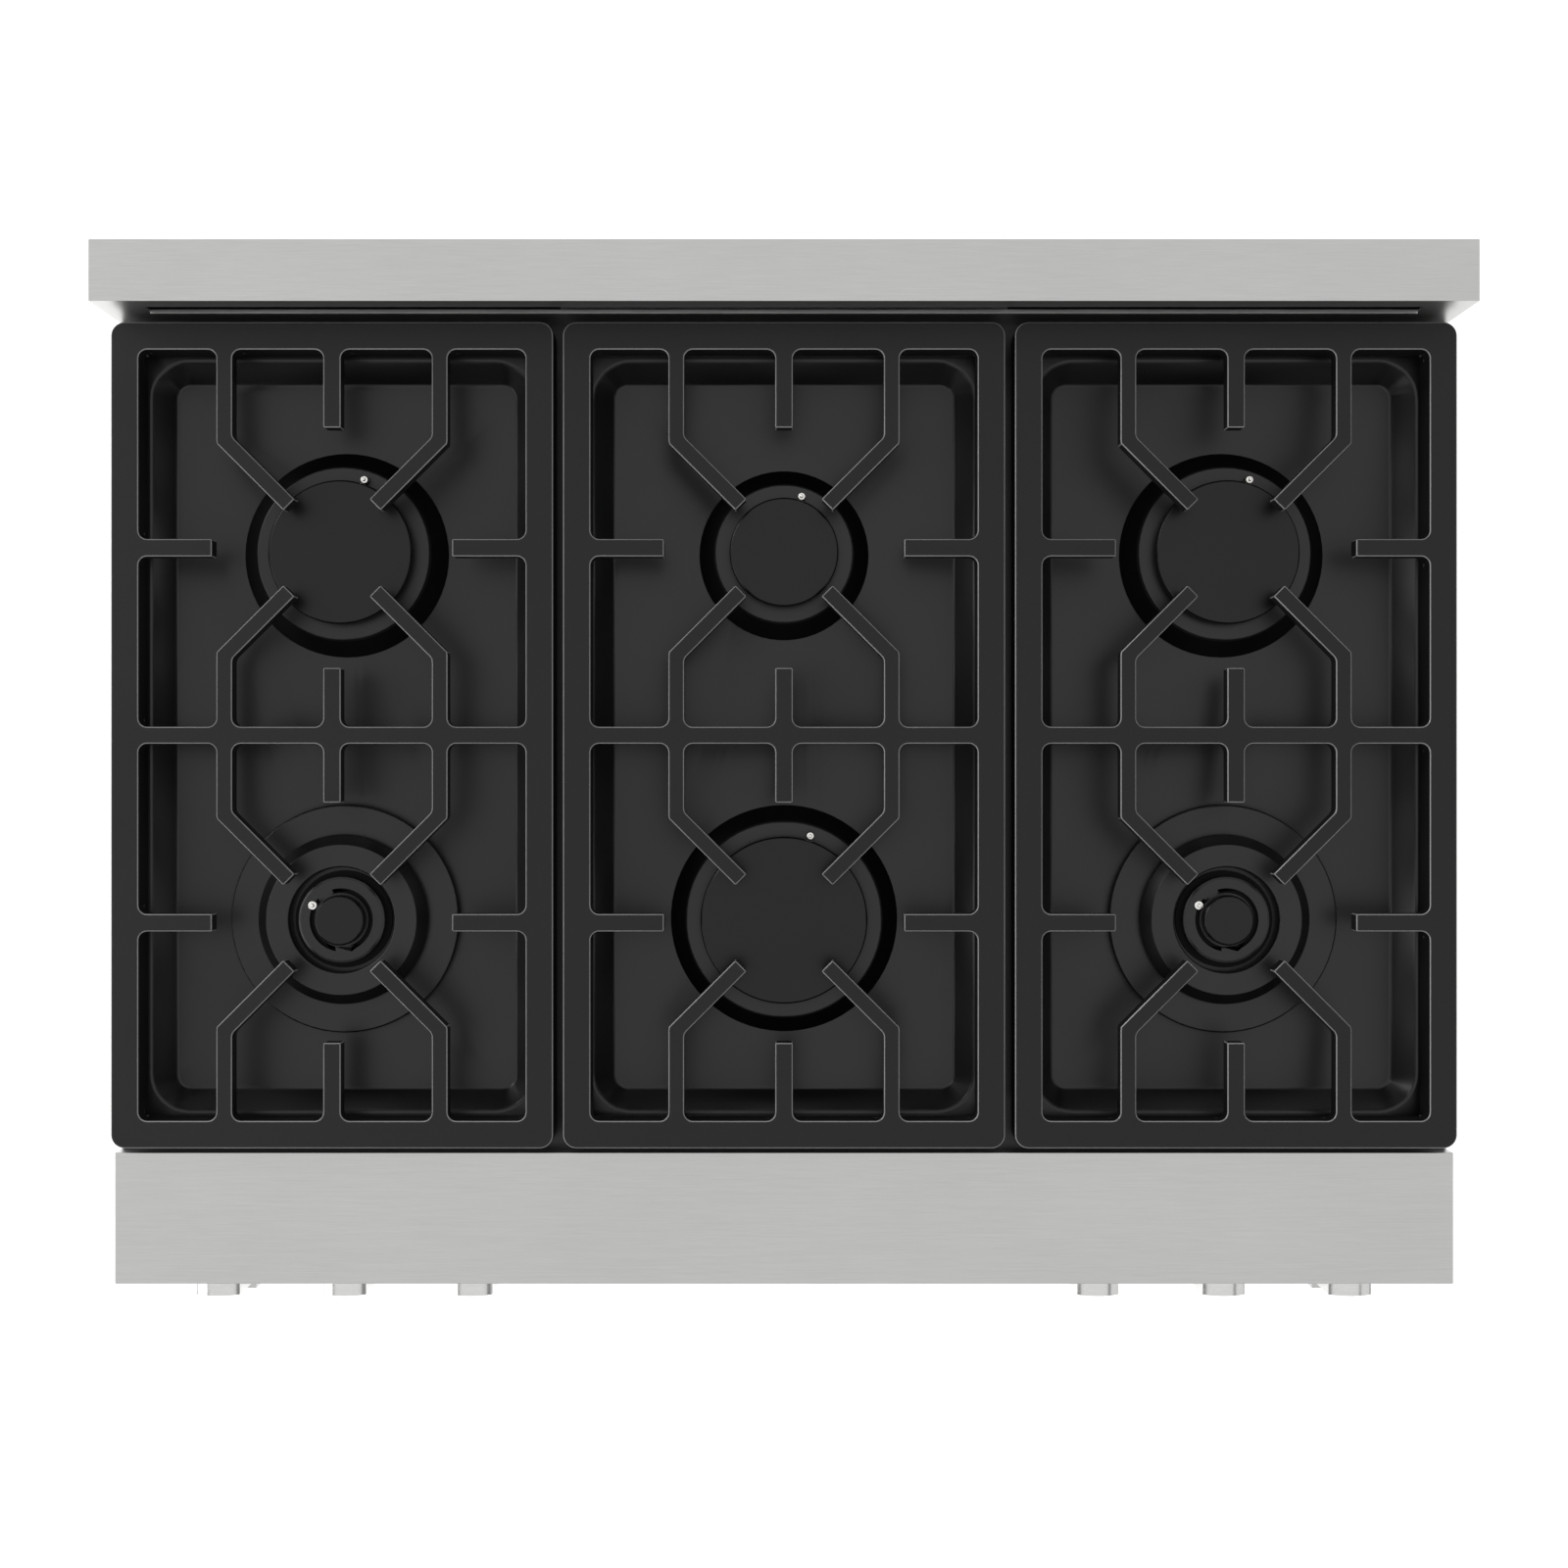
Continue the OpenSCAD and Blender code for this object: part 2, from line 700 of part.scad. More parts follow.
module well_solid(w, d, r_top, r_low, slope, top, low) {
    hull() {
        translate([0, 0, top - 0.01]) linear_extrude(height = 0.01) rounded(w, d, r_top, $fn = 32);
        translate([0, 0, low]) linear_extrude(height = 0.01)
            rounded(w - 2 * slope, d - 2 * slope, r_low, $fn = 32);
    }
}

module cooktop_pan() {
    pan_front = frame_y + 4;
    pan_back = rear_y - sheet - lap_gap;
    pan_flange = 14;
    flue_gap = 2;
    t = enamel_t;
    color(enamel) difference() {
        union() {
            box(-in_w + lap_gap, in_w - lap_gap, pan_front, pan_back, rim_z - t, rim_z);
            for (i = [-1:1]) translate([i * grate_pitch, grate_y, 0])
                well_solid(well_w + 2 * t, well_d + 2 * t, well_r + t, well_floor_r + t, well_slope,
                    rim_z - t / 2, well_z - t);
            for (s = [-1, 1]) translate([s * (in_w - lap_gap - t / 2), 0, 0])
                box(-t / 2, t / 2, pan_front, pan_back, rim_z - pan_flange, rim_z - t / 2);
        }
        for (i = [-1:1]) translate([i * grate_pitch, grate_y, 0])
            well_solid(well_w, well_d, well_r, well_floor_r, well_slope, rim_z + 0.01, well_z);
        for (b = burners) translate([b[0], b[1], well_z - 5]) cylinder(d = pan_hole_d, h = 10);
        for (x = power_x) translate([x, front_burner_y, well_z - 5]) cylinder(d = pan_hole_d, h = 10);
        box(-flue_w / 2 - flue_gap, flue_w / 2 + flue_gap, flue_y - flue_gap, flue_y + flue_d + flue_gap,
            rim_z - 20, rim_z + 1);
    }
}

module front_ledge() {
    color(steel) difference() {
        box(-half_w, half_w, front_y, ledge_back_y, rim_z + lap_gap, cook_h);
        box(-half_w + sheet, half_w - sheet, front_y + sheet, ledge_back_y - sheet,
            rim_z - 1, cook_h - sheet);
    }
    color(steel) difference() {
        box(-half_w, half_w, front_y, frame_y - lap_gap, panel_top, rim_z + lap_gap + 0.5);
        box(-half_w + sheet, half_w - sheet, front_y + sheet, frame_y + 1, panel_top - 1, cook_h);
    }
}

module control_panel() {
    flange = 16;
    top = panel_top - lap_gap;
    color(steel) difference() {
        union() {
            box(-half_w, half_w, face_y, face_y + sheet, panel_z, top);
            for (s = [-1, 1]) translate([s * (half_w - sheet / 2), 0, 0])
                box(-sheet / 2, sheet / 2, face_y, frame_y - lap_gap, panel_z, top);
            box(-half_w, half_w, face_y, face_y + flange, panel_z, panel_z + sheet);
            box(-half_w, half_w, face_y, face_y + flange, top - sheet, top);
        }
        for (x = knob_x) translate([x, 0, knob_z]) along_y(stem_d + 4, face_y - 5, face_y + 5);
        box(-display_w / 2, display_w / 2, face_y - 5, face_y + 5,
            knob_z - display_h / 2, knob_z + display_h / 2);
    }
}

module touch_display() {
    g = lap_gap;
    color("#101014") {
        box(-display_w / 2 + g, display_w / 2 - g, face_y - 1, face_y + display_t,
            knob_z - display_h / 2 + g, knob_z + display_h / 2 - g);
        box(-display_w / 2 - 8, display_w / 2 + 8, face_y + sheet + g, face_y + sheet + g + 14,
            knob_z - display_h / 2 - 3, knob_z + display_h / 2 + 3);
    }
}

module valve_stem(i) {
    color(alloy) translate([knob_x[i], 0, knob_z]) {
        along_y(stem_d, knob_back_y - stem_socket, stem_end_y);
        along_y(stem_d + 6, face_y + sheet + push_travel + 1 - 4, face_y + sheet + push_travel + 1 - 2);
    }
}

module knob(i) {
    grip_t = knob_back_y - skirt_t - knob_front_y;
    color("#d8d8d6") translate([knob_x[i], 0, knob_z]) difference() {
        union() {
            translate([0, knob_back_y, 0]) rotate([90, 0, 0]) rotate_extrude() polygon([
                [0, 0], [knob_skirt_d / 2, 0], [knob_skirt_d / 2, skirt_t - 2],
                [knob_skirt_d / 2 - 2, skirt_t], [0, skirt_t]
            ]);
            translate([0, knob_back_y - skirt_t + 0.5, 0]) rotate([90, 0, 0])
                linear_extrude(height = grip_t + 0.5) intersection() {
                    circle(d = grip_h);
                    square([grip_w, grip_h], center = true);
                }
        }
        along_y(stem_d + 2 * stem_gap, knob_back_y - stem_socket - stem_gap, knob_back_y + 1);
    }
}

module gas_manifold() {
    y_pipe = valve_front_y + valve_l / 2;
    valve_back = valve_front_y + valve_l;
    color(alloy) {
        difference() {
            union() {
                box(-inlet_x - pipe_w / 2, inlet_x + pipe_w / 2, y_pipe - pipe_w / 2, y_pipe + pipe_w / 2,
                    pipe_z - pipe_w / 2, pipe_z + pipe_w / 2);
                for (x = knob_x) box(x - valve_w / 2, x + valve_w / 2, valve_front_y, valve_back,
                    knob_z - valve_w / 2 - 1, knob_z + valve_w / 2);
                for (i = [1, 4]) box(min(knob_x[i], feed_burner_x[i]) - tube_d / 2 - 1,
                    max(knob_x[i], feed_burner_x[i]) + tube_d / 2 + 1,
                    valve_back - tube_d - 4, valve_back - 0.5,
                    knob_z - tube_d / 2 - 1, knob_z + tube_d / 2 + 1);
                translate([inlet_x, 0, inlet_z]) {
                    along_y(2 * inlet_r - 3, y_pipe, rear_panel_y + 1);
                    along_y(2 * inlet_r, rear_panel_y, rear_panel_y + inlet_l);
                }
                box(inlet_x - 16, inlet_x + 14, grate_y + 100, grate_y + 150, inlet_z - 30, inlet_z + 22);
            }
            for (x = knob_x) translate([x, 0, knob_z])
                along_y(stem_d + 2 * stem_gap, valve_front_y - 1, stem_end_y + push_travel + 1);
            translate([inlet_x, 0, inlet_z])
                along_y(2 * inlet_r - 5, rear_panel_y + 2, rear_panel_y + inlet_l + 1);
        }
        for (i = [0:5]) translate([0, 0, knob_z]) {
            straight = i == 1 || i == 4;
            x = straight ? feed_burner_x[i] : knob_x[i];
            s = feed_burner_x[i] > x ? 1 : -1;
            y_end = straight ? feed_lane[i] - cup_d / 2 - seat_gap : feed_lane[i];
            translate([x, 0, 0]) along_y(tube_d, valve_back - 1, y_end);
            if (!straight) translate([x, feed_lane[i], 0]) sphere(d = tube_d);
            if (!straight) translate([0, feed_lane[i], 0])
                along_x(tube_d, min(x, feed_burner_x[i] - s * (cup_d / 2 + seat_gap)),
                    max(x, feed_burner_x[i] - s * (cup_d / 2 + seat_gap)));
        }
    }
}

module burner_bases() {
    boss = 3;
    bore_d = cup_d - 14;
    color(black_enamel) {
        for (b = burners) translate([b[0], b[1], 0]) {
            base_d = b[2] + 2 * head_rim + 2 * base_rim;
            difference() {
                rotate_extrude() polygon([
                    [0, cup_z], [cup_d / 2, cup_z], [cup_d / 2, well_z], [base_d / 2, well_z],
                    [base_d / 2, well_z + 1], [base_d / 2 - base_rim + 1, head_under_z], [0, head_under_z]
                ]);
                translate([0, 0, cup_z + boss]) cylinder(d = bore_d, h = cup_depth + base_rise + 1);
            }
        }
        for (x = power_x) translate([x, front_burner_y, 0]) difference() {
            rotate_extrude() polygon([
                [0, cup_z], [cup_d / 2, cup_z], [cup_d / 2, well_z], [power_disc_d / 2, well_z],
                [power_disc_d / 2, disc_z - 1], [power_disc_d / 2 - 1, disc_z], [0, disc_z]
            ]);
            translate([0, 0, cup_z + boss]) cylinder(d = bore_d, h = cup_depth + disc_rise + 1);
        }
    }
}

module port_ring(r, z0, z1, count) {
    for (i = [0:count - 1]) rotate([0, 0, (i + 0.5) * 360 / count])
        translate([r, 0, (z0 + z1) / 2]) cube([12, 2.4, z1 - z0], center = true);
}

module burner_heads() {
    port_h = 3;
    color(enamel) {
        for (b = burners) translate([b[0], b[1], 0]) {
            head_r = b[2] / 2 + head_rim;
            drum_r = b[2] / 2 - 4;
            rim_top = cook_h - head_drop;
            ports = round(b[2] / 4.2);
            difference() {
                rotate_extrude() polygon([
                    [drum_r - 8, head_under_z], [head_r, head_under_z], [head_r, rim_top - 0.5],
                    [head_r - 0.5, rim_top], [drum_r, rim_top],
                    [drum_r, cap_under_z], [drum_r - 8, cap_under_z]
                ]);
                port_ring(drum_r - 4, cap_under_z - port_h, cap_under_z + 1, ports);
                rotate([0, 0, -spark_lean])
                    translate([0, b[2] / 2 + spark_gap + spark_d / 2, head_under_z - 1])
                        cylinder(d = spark_d + 2 * lap_gap, h = 20);
            }
        }
        for (x = power_x) translate([x, front_burner_y, 0]) {
            inner_top = cook_h - ring_drop;
            inner_r = inner_head_d / 2;
            cap_r = inner_cap_d / 2;
            difference() {
                rotate_extrude() polygon([
                    [11, disc_z], [inner_r + 4, disc_z], [inner_r + 4, disc_z + 3], [inner_r, disc_z + 3],
                    [inner_r, inner_top - 1.5], [inner_r - 1.5, inner_top], [cap_r + 4.6, inner_top],
                    [cap_r + 4.6, inner_top - 4], [cap_r + 1.4, inner_top - 4], [cap_r + 1.4, inner_top],
                    [cap_r - 3, inner_top], [cap_r - 3, inner_top + 3], [11, inner_top + 3]
                ]);
                port_ring(cap_r - 4, inner_top + 0.5, inner_top + 4, 12);
                translate([inner_spark_x, inner_spark_y, disc_z - 1])
                    cylinder(d = spark_d + 1 + 2 * lap_gap, h = 30);
            }
            for (a = [122, 275]) rotate([0, 0, a]) translate([cap_r + 3, 0, inner_top - 2.2])
                cube([4, 11, 4.4], center = true);
        }
    }
}

module spark_electrodes() {
    tip_z = cook_h - cap_drop - 2;
    color("#e6e2da") {
        for (b = burners) translate([b[0], b[1], 0]) rotate([0, 0, -spark_lean])
            translate([0, b[2] / 2 + spark_gap + spark_d / 2, 0]) {
                translate([0, 0, head_under_z]) cylinder(d = spark_d, h = tip_z - 3 - head_under_z);
                translate([0, 0, head_under_z]) cylinder(d = 2, h = tip_z - head_under_z);
            }
        for (x = power_x) translate([x + inner_spark_x, front_burner_y + inner_spark_y, 0]) {
            translate([0, 0, disc_z]) cylinder(d = spark_d + 1, h = ring_top_z + 1.5 - disc_z);
            translate([0, 0, disc_z]) cylinder(d = 2.4, h = ring_top_z + 4 - disc_z);
        }
    }
}

module burner_cap(i) {
    b = burners[i];
    r = b[2] / 2;
    skirt_r = r - 4 - 8 - 0.6;
    color(black_enamel) translate([b[0], b[1], cap_under_z]) rotate_extrude() polygon([
        [0, 1], [skirt_r - 3, 1], [skirt_r - 3, -3], [skirt_r, -3], [skirt_r, 0], [r - 1, 0],
        [r, 1], [r, cap_t - 1.6], [r - 0.5, cap_t - 0.5], [r - 1.6, cap_t], [0, cap_t]
    ]);
}

module ring_cap(x) {
    r = ring_d / 2;
    bore = ring_bore_d / 2;
    h = ring_top_z - disc_z;
    color(enamel) translate([x, front_burner_y, disc_z]) rotate_extrude() polygon([
        [bore, 0], [r, 0], [r, h - ring_chamfer - 1], [r - ring_chamfer, h - 1],
        [r - ring_chamfer - 1, h], [bore + 1, h], [bore, h - 1]
    ]);
}

module inner_cap(x) {
    r = inner_cap_d / 2;
    under = ring_top_z + 3;
    top = cook_h - inner_cap_drop;
    color(black_enamel) translate([x, front_burner_y, 0]) rotate_extrude() polygon([
        [0, under], [7, under], [7, under - 2], [10.4, under - 2], [10.4, under], [r, under],
        [r, top - 1.2], [r - 1.2, top], [0, top]
    ]);
}

// Grates

module burner_bars() {
    span = grate_d / 2;
    tip = tip_r / sqrt(2);
    reach = (bent_x - tip) * sqrt(2);
    for (x = [-1, 1], y = [-1, 1]) scale([x, y]) {
        translate([bent_x - bent_bar / 2, bent_x]) square([bent_bar, burner_gap / 2 - bent_x]);
        translate([bent_x, bent_x]) circle(bent_bar / 2);
        translate([tip, tip]) rotate(45) translate([0, -bent_bar / 2]) square([reach, bent_bar]);
    }
    for (y = [-1, 1]) scale([1, y])
        translate([-finger_bar / 2, finger_tip]) square([finger_bar, burner_gap / 2 - finger_tip]);
    for (x = [-1, 1]) scale([x, 1])
        translate([finger_tip, -finger_bar / 2])
            square([grate_w / 2 - frame_bar / 2 - finger_tip, finger_bar]);
}

module grate_outline() {
    intersection() {
        offset(r = -bar_fillet, $fn = 32) offset(delta = bar_fillet) union() {
            difference() {
                square([grate_w + 20, grate_d + 20], center = true);
                square([grate_w - 2 * frame_bar, grate_d - 2 * frame_bar], center = true);
            }
            square([grate_w, cross_bar], center = true);
            for (s = [-1, 1]) translate([0, s * burner_gap / 2]) {
                burner_bars();
                for (x = [-bent_x, 0, bent_x])
                    translate([x, s * (burner_gap / 4 + grate_d / 4 - 10)])
                        square([x == 0 ? finger_bar : bent_bar, (grate_d - burner_gap) / 2], center = true);
            }
        }
        rounded(grate_w, grate_d, grate_r);
    }
}

module grate(i) {
    under = grate_z - frame_h;
    foot_x = grate_w / 2 - frame_bar / 2;
    foot_y = grate_d / 2 - frame_bar / 2;
    color(cast_iron) translate([i * grate_pitch, grate_y, 0]) {
        translate([0, 0, grate_z - finger_h]) linear_extrude(height = finger_h) grate_outline();
        translate([0, 0, under]) linear_extrude(height = frame_h) difference() {
            rounded(grate_w, grate_d, grate_r);
            square([grate_w - 2 * frame_bar, grate_d - 2 * frame_bar], center = true);
        }
        for (x = [-1, 1], y = [-1, 1]) translate([x * foot_x, y * foot_y, rim_z])
            cylinder(d = grate_foot_d, h = under - rim_z + 1);
    }
}

// Backguard

module screw_places() {
    for (i = [-1:1]) translate([i * guard_screw_pitch, rear_y, cook_h + guard_h - 14]) rotate([-90, 0, 0])
        children();
}

module backguard() {
    top = cook_h + guard_h;
    lip = 1.5;
    color(steel) {
        difference() {
            box(-half_w, half_w, guard_front_y, rear_y, rim_z, top);
            box(-half_w + sheet, half_w - sheet, guard_front_y + sheet, rear_y - sheet,
                rim_z - 1, top - sheet);
            box(-slot_w / 2, slot_w / 2, guard_front_y - 1, guard_front_y + sheet + 1,
                cook_h + slot_z, cook_h + slot_z + slot_h);
            screw_places() cylinder(d = 4.5, h = 20, center = true);
        }
        box(-slot_w / 2, slot_w / 2, guard_front_y - lip, guard_front_y + sheet / 2,
            cook_h + slot_z - sheet, cook_h + slot_z);
        box(-half_w + sheet, half_w - sheet, rear_y - sheet, rear_y, rim_z - 30, rim_z);
    }
}

module backguard_screws() {
    r = guard_screw_d / 2;
    h = guard_screw_h;
    dome = (r * r + h * h) / (2 * h);
    color("#303030") screw_places() {
        rotate_extrude() intersection() {
            translate([0, h - dome]) circle(dome);
            square([r, h]);
        }
        translate([0, 0, -12]) cylinder(d = 4, h = 12.5);
    }
}

// Door

module hinge_notches() {
    for (s = [-1, 1]) box(s * hinge_x - lug_w / 2 - lug_gap, s * hinge_x + lug_w / 2 + lug_gap,
        axis_y - lug_r - lug_gap, door_back_y + 5, door_z - 5, axis_z + lug_r + lug_gap);
}

module door_skin() {
    hw = door_w / 2;
    color(steel) difference() {
        box(-hw, hw, face_y, face_y + skin_fold, door_z, door_top);
        box(-hw + sheet, hw - sheet, face_y + sheet, face_y + skin_fold + 1,
            door_z + sheet, door_top - sheet);
        box(-window_w / 2, window_w / 2, face_y - 1, face_y + 5,
            window_z - window_h / 2, window_z + window_h / 2);
        hinge_notches();
        for (s = [-1, 1]) translate([s * bracket_x, 0, handle_z]) along_y(5.4, face_y - 1, face_y + 5);
    }
}

module door_liner() {
    hw = door_w / 2;
    y0 = face_y + skin_fold;
    cheek = 3;
    color(enamel) {
        difference() {
            box(-hw, hw, y0, door_back_y, door_z, door_top);
            box(-hw + enamel_t, hw - enamel_t, y0 - 1, door_back_y - enamel_t, door_z + enamel_t,
                door_top - enamel_t);
            box(-window_w / 2, window_w / 2, door_back_y - 5, door_back_y + 1, window_z - window_h / 2,
                window_z + window_h / 2);
            hinge_notches();
        }
        for (s = [-1, 1]) {
            for (v = [-1, 1]) translate([s * hinge_x + v * (lug_w / 2 + lug_gap + cheek / 2), 0, axis_z])
                box(-cheek / 2, cheek / 2, axis_y - lug_r, door_back_y - enamel_t / 2,
                    -hinge_up + sheet + lap_gap, 20);
            translate([s * hinge_x, axis_y, axis_z])
                along_x(hinge_pin_d, -lug_w / 2 - lug_gap - cheek, lug_w / 2 + lug_gap + cheek);
        }
    }
}

module door_glass() {
    w = window_w / 2 + pane_margin;
    h = window_h / 2 + pane_margin;
    color("#202428") {
        box(-w, w, face_y + sheet, face_y + sheet + glass_t, window_z - h, window_z + h);
        box(-w, w, door_back_y - enamel_t - glass_t, door_back_y - enamel_t, window_z - h, window_z + h);
    }
}

module door_handle() {
    front = front_y - handle_out;
    bar_y = front + 1.6 + handle_d / 2;
    color("#d0d0ce") {
        translate([0, bar_y, handle_z]) along_x(handle_d, -bracket_x, bracket_x);
        for (s = [-1, 1]) translate([s * bracket_x, 0, handle_z]) {
            box(-bracket_w / 2, bracket_w / 2, front, face_y, -bracket_h / 2, bracket_h / 2);
            along_y(5, face_y - 2, face_y + 12);
        }
    }
}

base_frame();
side_panel(-1);  // side_panel_left
side_panel(1);  // side_panel_right
rear_panel();
front_frame();
kick_panel();
oven_liner();
oven_insulation();
rack_guides();
door_gasket();
bake_burner();
broil_burner();
fan_cover();
fan_motor();
oven_lights();
flue_duct();
cooktop_pan();
front_ledge();
control_panel();
touch_display();
gas_manifold();
burner_bases();
burner_heads();
spark_electrodes();
backguard();
backguard_screws();
foot_at(-leg_x, leg_front_y);  // foot_front_left
foot_at(leg_x, leg_front_y);  // foot_front_right
foot_at(-leg_x, leg_rear_y);  // foot_rear_left
foot_at(leg_x, leg_rear_y);  // foot_rear_right
convection_fan();
burner_cap(0);  // burner_cap_rear_left
burner_cap(1);  // burner_cap_rear_middle
burner_cap(2);  // burner_cap_rear_right
burner_cap(3);  // burner_cap_front_middle
ring_cap(power_x[0]);  // ring_cap_left
ring_cap(power_x[1]);  // ring_cap_right
inner_cap(power_x[0]);  // inner_cap_left
inner_cap(power_x[1]);  // inner_cap_right
grate(-1);  // grate_left
grate(0);  // grate_middle
grate(1);  // grate_right
valve_stem(0);  // valve_stem_1
valve_stem(1);  // valve_stem_2
valve_stem(2);  // valve_stem_3
valve_stem(3);  // valve_stem_4
valve_stem(4);  // valve_stem_5
valve_stem(5);  // valve_stem_6
knob(0);  // knob_1
knob(1);  // knob_2
knob(2);  // knob_3
knob(3);  // knob_4
knob(4);  // knob_5
knob(5);  // knob_6
oven_rack(lower_level);  // oven_rack_lower
oven_rack(upper_level);  // oven_rack_upper
door_skin();
door_liner();
door_glass();
door_handle();
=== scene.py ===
import json
import math
import bmesh
import bpy
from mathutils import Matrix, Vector, noise


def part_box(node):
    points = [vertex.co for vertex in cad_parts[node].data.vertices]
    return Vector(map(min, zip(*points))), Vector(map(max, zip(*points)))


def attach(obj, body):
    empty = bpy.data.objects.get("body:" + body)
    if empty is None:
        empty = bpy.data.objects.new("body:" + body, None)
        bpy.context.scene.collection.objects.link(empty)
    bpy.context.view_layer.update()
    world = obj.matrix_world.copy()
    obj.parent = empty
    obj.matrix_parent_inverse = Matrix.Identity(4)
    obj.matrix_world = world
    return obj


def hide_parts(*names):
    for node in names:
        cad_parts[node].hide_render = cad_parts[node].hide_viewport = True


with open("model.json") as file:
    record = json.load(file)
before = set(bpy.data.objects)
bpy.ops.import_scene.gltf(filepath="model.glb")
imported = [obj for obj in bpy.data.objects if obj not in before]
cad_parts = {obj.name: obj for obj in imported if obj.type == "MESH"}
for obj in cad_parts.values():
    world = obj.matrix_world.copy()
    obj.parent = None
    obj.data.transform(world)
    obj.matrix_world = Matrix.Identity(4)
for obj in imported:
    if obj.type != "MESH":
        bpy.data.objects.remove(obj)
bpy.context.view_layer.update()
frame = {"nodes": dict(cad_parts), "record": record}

nodes = frame["nodes"]
bodyOf = {n: b for b, held in frame["record"]["behaviour"]["bodies"].items() for n in held}
slotOf = {s["node"]: s["material_slot"] for s in frame["record"]["subparts"]}
mm = 0.001
print("frame loaded:", len(nodes), "nodes")


# camera, straight above the cooktop

cameraSetup = {"lens": 50.0, "sensor": 36.0, "aboveLedge": 1.482, "behindLedgeFront": 0.3402}
ledgeLow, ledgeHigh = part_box("front_ledge")
cameraData = bpy.data.cameras.new("overheadCamera")
cameraData.lens = cameraSetup["lens"]
cameraData.sensor_width = cameraSetup["sensor"]
camera = bpy.data.objects.new("overheadCamera", cameraData)
camera.location = (0, ledgeLow.y + cameraSetup["behindLedgeFront"], ledgeHigh.z + cameraSetup["aboveLedge"])
bpy.context.scene.collection.objects.link(camera)
bpy.context.scene.camera = camera


# small helpers

def linear(hexColour):
    parts = [int(hexColour[i:i + 2], 16) / 255 for i in (1, 3, 5)]
    return tuple(p / 12.92 if p <= 0.04045 else ((p + 0.055) / 1.055) ** 2.4 for p in parts) + (1.0,)


def addNode(tree, kind, inputs=None, **settings):
    made = tree.nodes.new(kind)
    for name, value in settings.items():
        setattr(made, name, value)
    for key, value in (inputs or {}).items():
        if isinstance(value, bpy.types.NodeSocket):
            tree.links.new(value, made.inputs[key])
        else:
            made.inputs[key].default_value = value
    return made


def newFinish(name, shaderInputs):
    finish = bpy.data.materials.new(name)
    finish.use_nodes = True
    tree = finish.node_tree
    tree.nodes.clear()
    shader = addNode(tree, "ShaderNodeBsdfPrincipled", shaderInputs)
    addNode(tree, "ShaderNodeOutputMaterial", {"Surface": shader.outputs[0]})
    place = addNode(tree, "ShaderNodeTexCoord")
    return finish, tree, shader, place.outputs["Object"]


# finishes

brushed = {"length": 34 * mm, "width": 0.9 * mm, "dark": "#bdbdbc", "light": "#cacac9",
           "rough": (0.3, 0.38)}


def brushedStainless(name, stretch, tint=1.0, rough=None):
    # rolled sheet ground with a belt: fine parallel scratches, soft broad reflections
    # real scratches are 0.05 mm apart; they are drawn wider so that they show
    finish, tree, shader, place = newFinish(name, {"Metallic": 1.0})
    scale = [1 / (brushed["length"] if axis in stretch else brushed["width"]) for axis in "xyz"]
    lay = addNode(tree, "ShaderNodeMapping", {"Vector": place, "Scale": scale})
    grain = addNode(tree, "ShaderNodeTexNoise",
                    {"Vector": lay.outputs[0], "Scale": 1.0, "Detail": 5.0, "Roughness": 0.75})
    cloud = addNode(tree, "ShaderNodeTexNoise", {"Vector": place, "Scale": 9.0, "Detail": 2.0})
    both = addNode(tree, "ShaderNodeMath", {0: cloud.outputs[0], 1: 0.25, 2: grain.outputs[0]},
                   operation="MULTIPLY_ADD")
    ramp = addNode(tree, "ShaderNodeMapRange",
                   {"Value": both.outputs[0], "From Min": 0.4, "From Max": 0.85})
    dark = [c * tint for c in linear(brushed["dark"])[:3]] + [1.0]
    light = [min(1.0, c * tint) for c in linear(brushed["light"])[:3]] + [1.0]
    colour = addNode(tree, "ShaderNodeMix", {0: ramp.outputs[0], 6: dark, 7: light}, data_type="RGBA")
    low, high = rough or brushed["rough"]
    gloss = addNode(tree, "ShaderNodeMapRange",
                    {"Value": grain.outputs[0], "From Min": 0.3, "From Max": 0.7, "To Min": low,
                     "To Max": high})
    bump = addNode(tree, "ShaderNodeBump",
                   {"Height": grain.outputs[0], "Strength": 0.08, "Distance": 0.03 * mm})
    tree.links.new(colour.outputs[2], shader.inputs["Base Color"])
    tree.links.new(gloss.outputs[0], shader.inputs["Roughness"])
    tree.links.new(bump.outputs[0], shader.inputs["Normal"])
    return finish


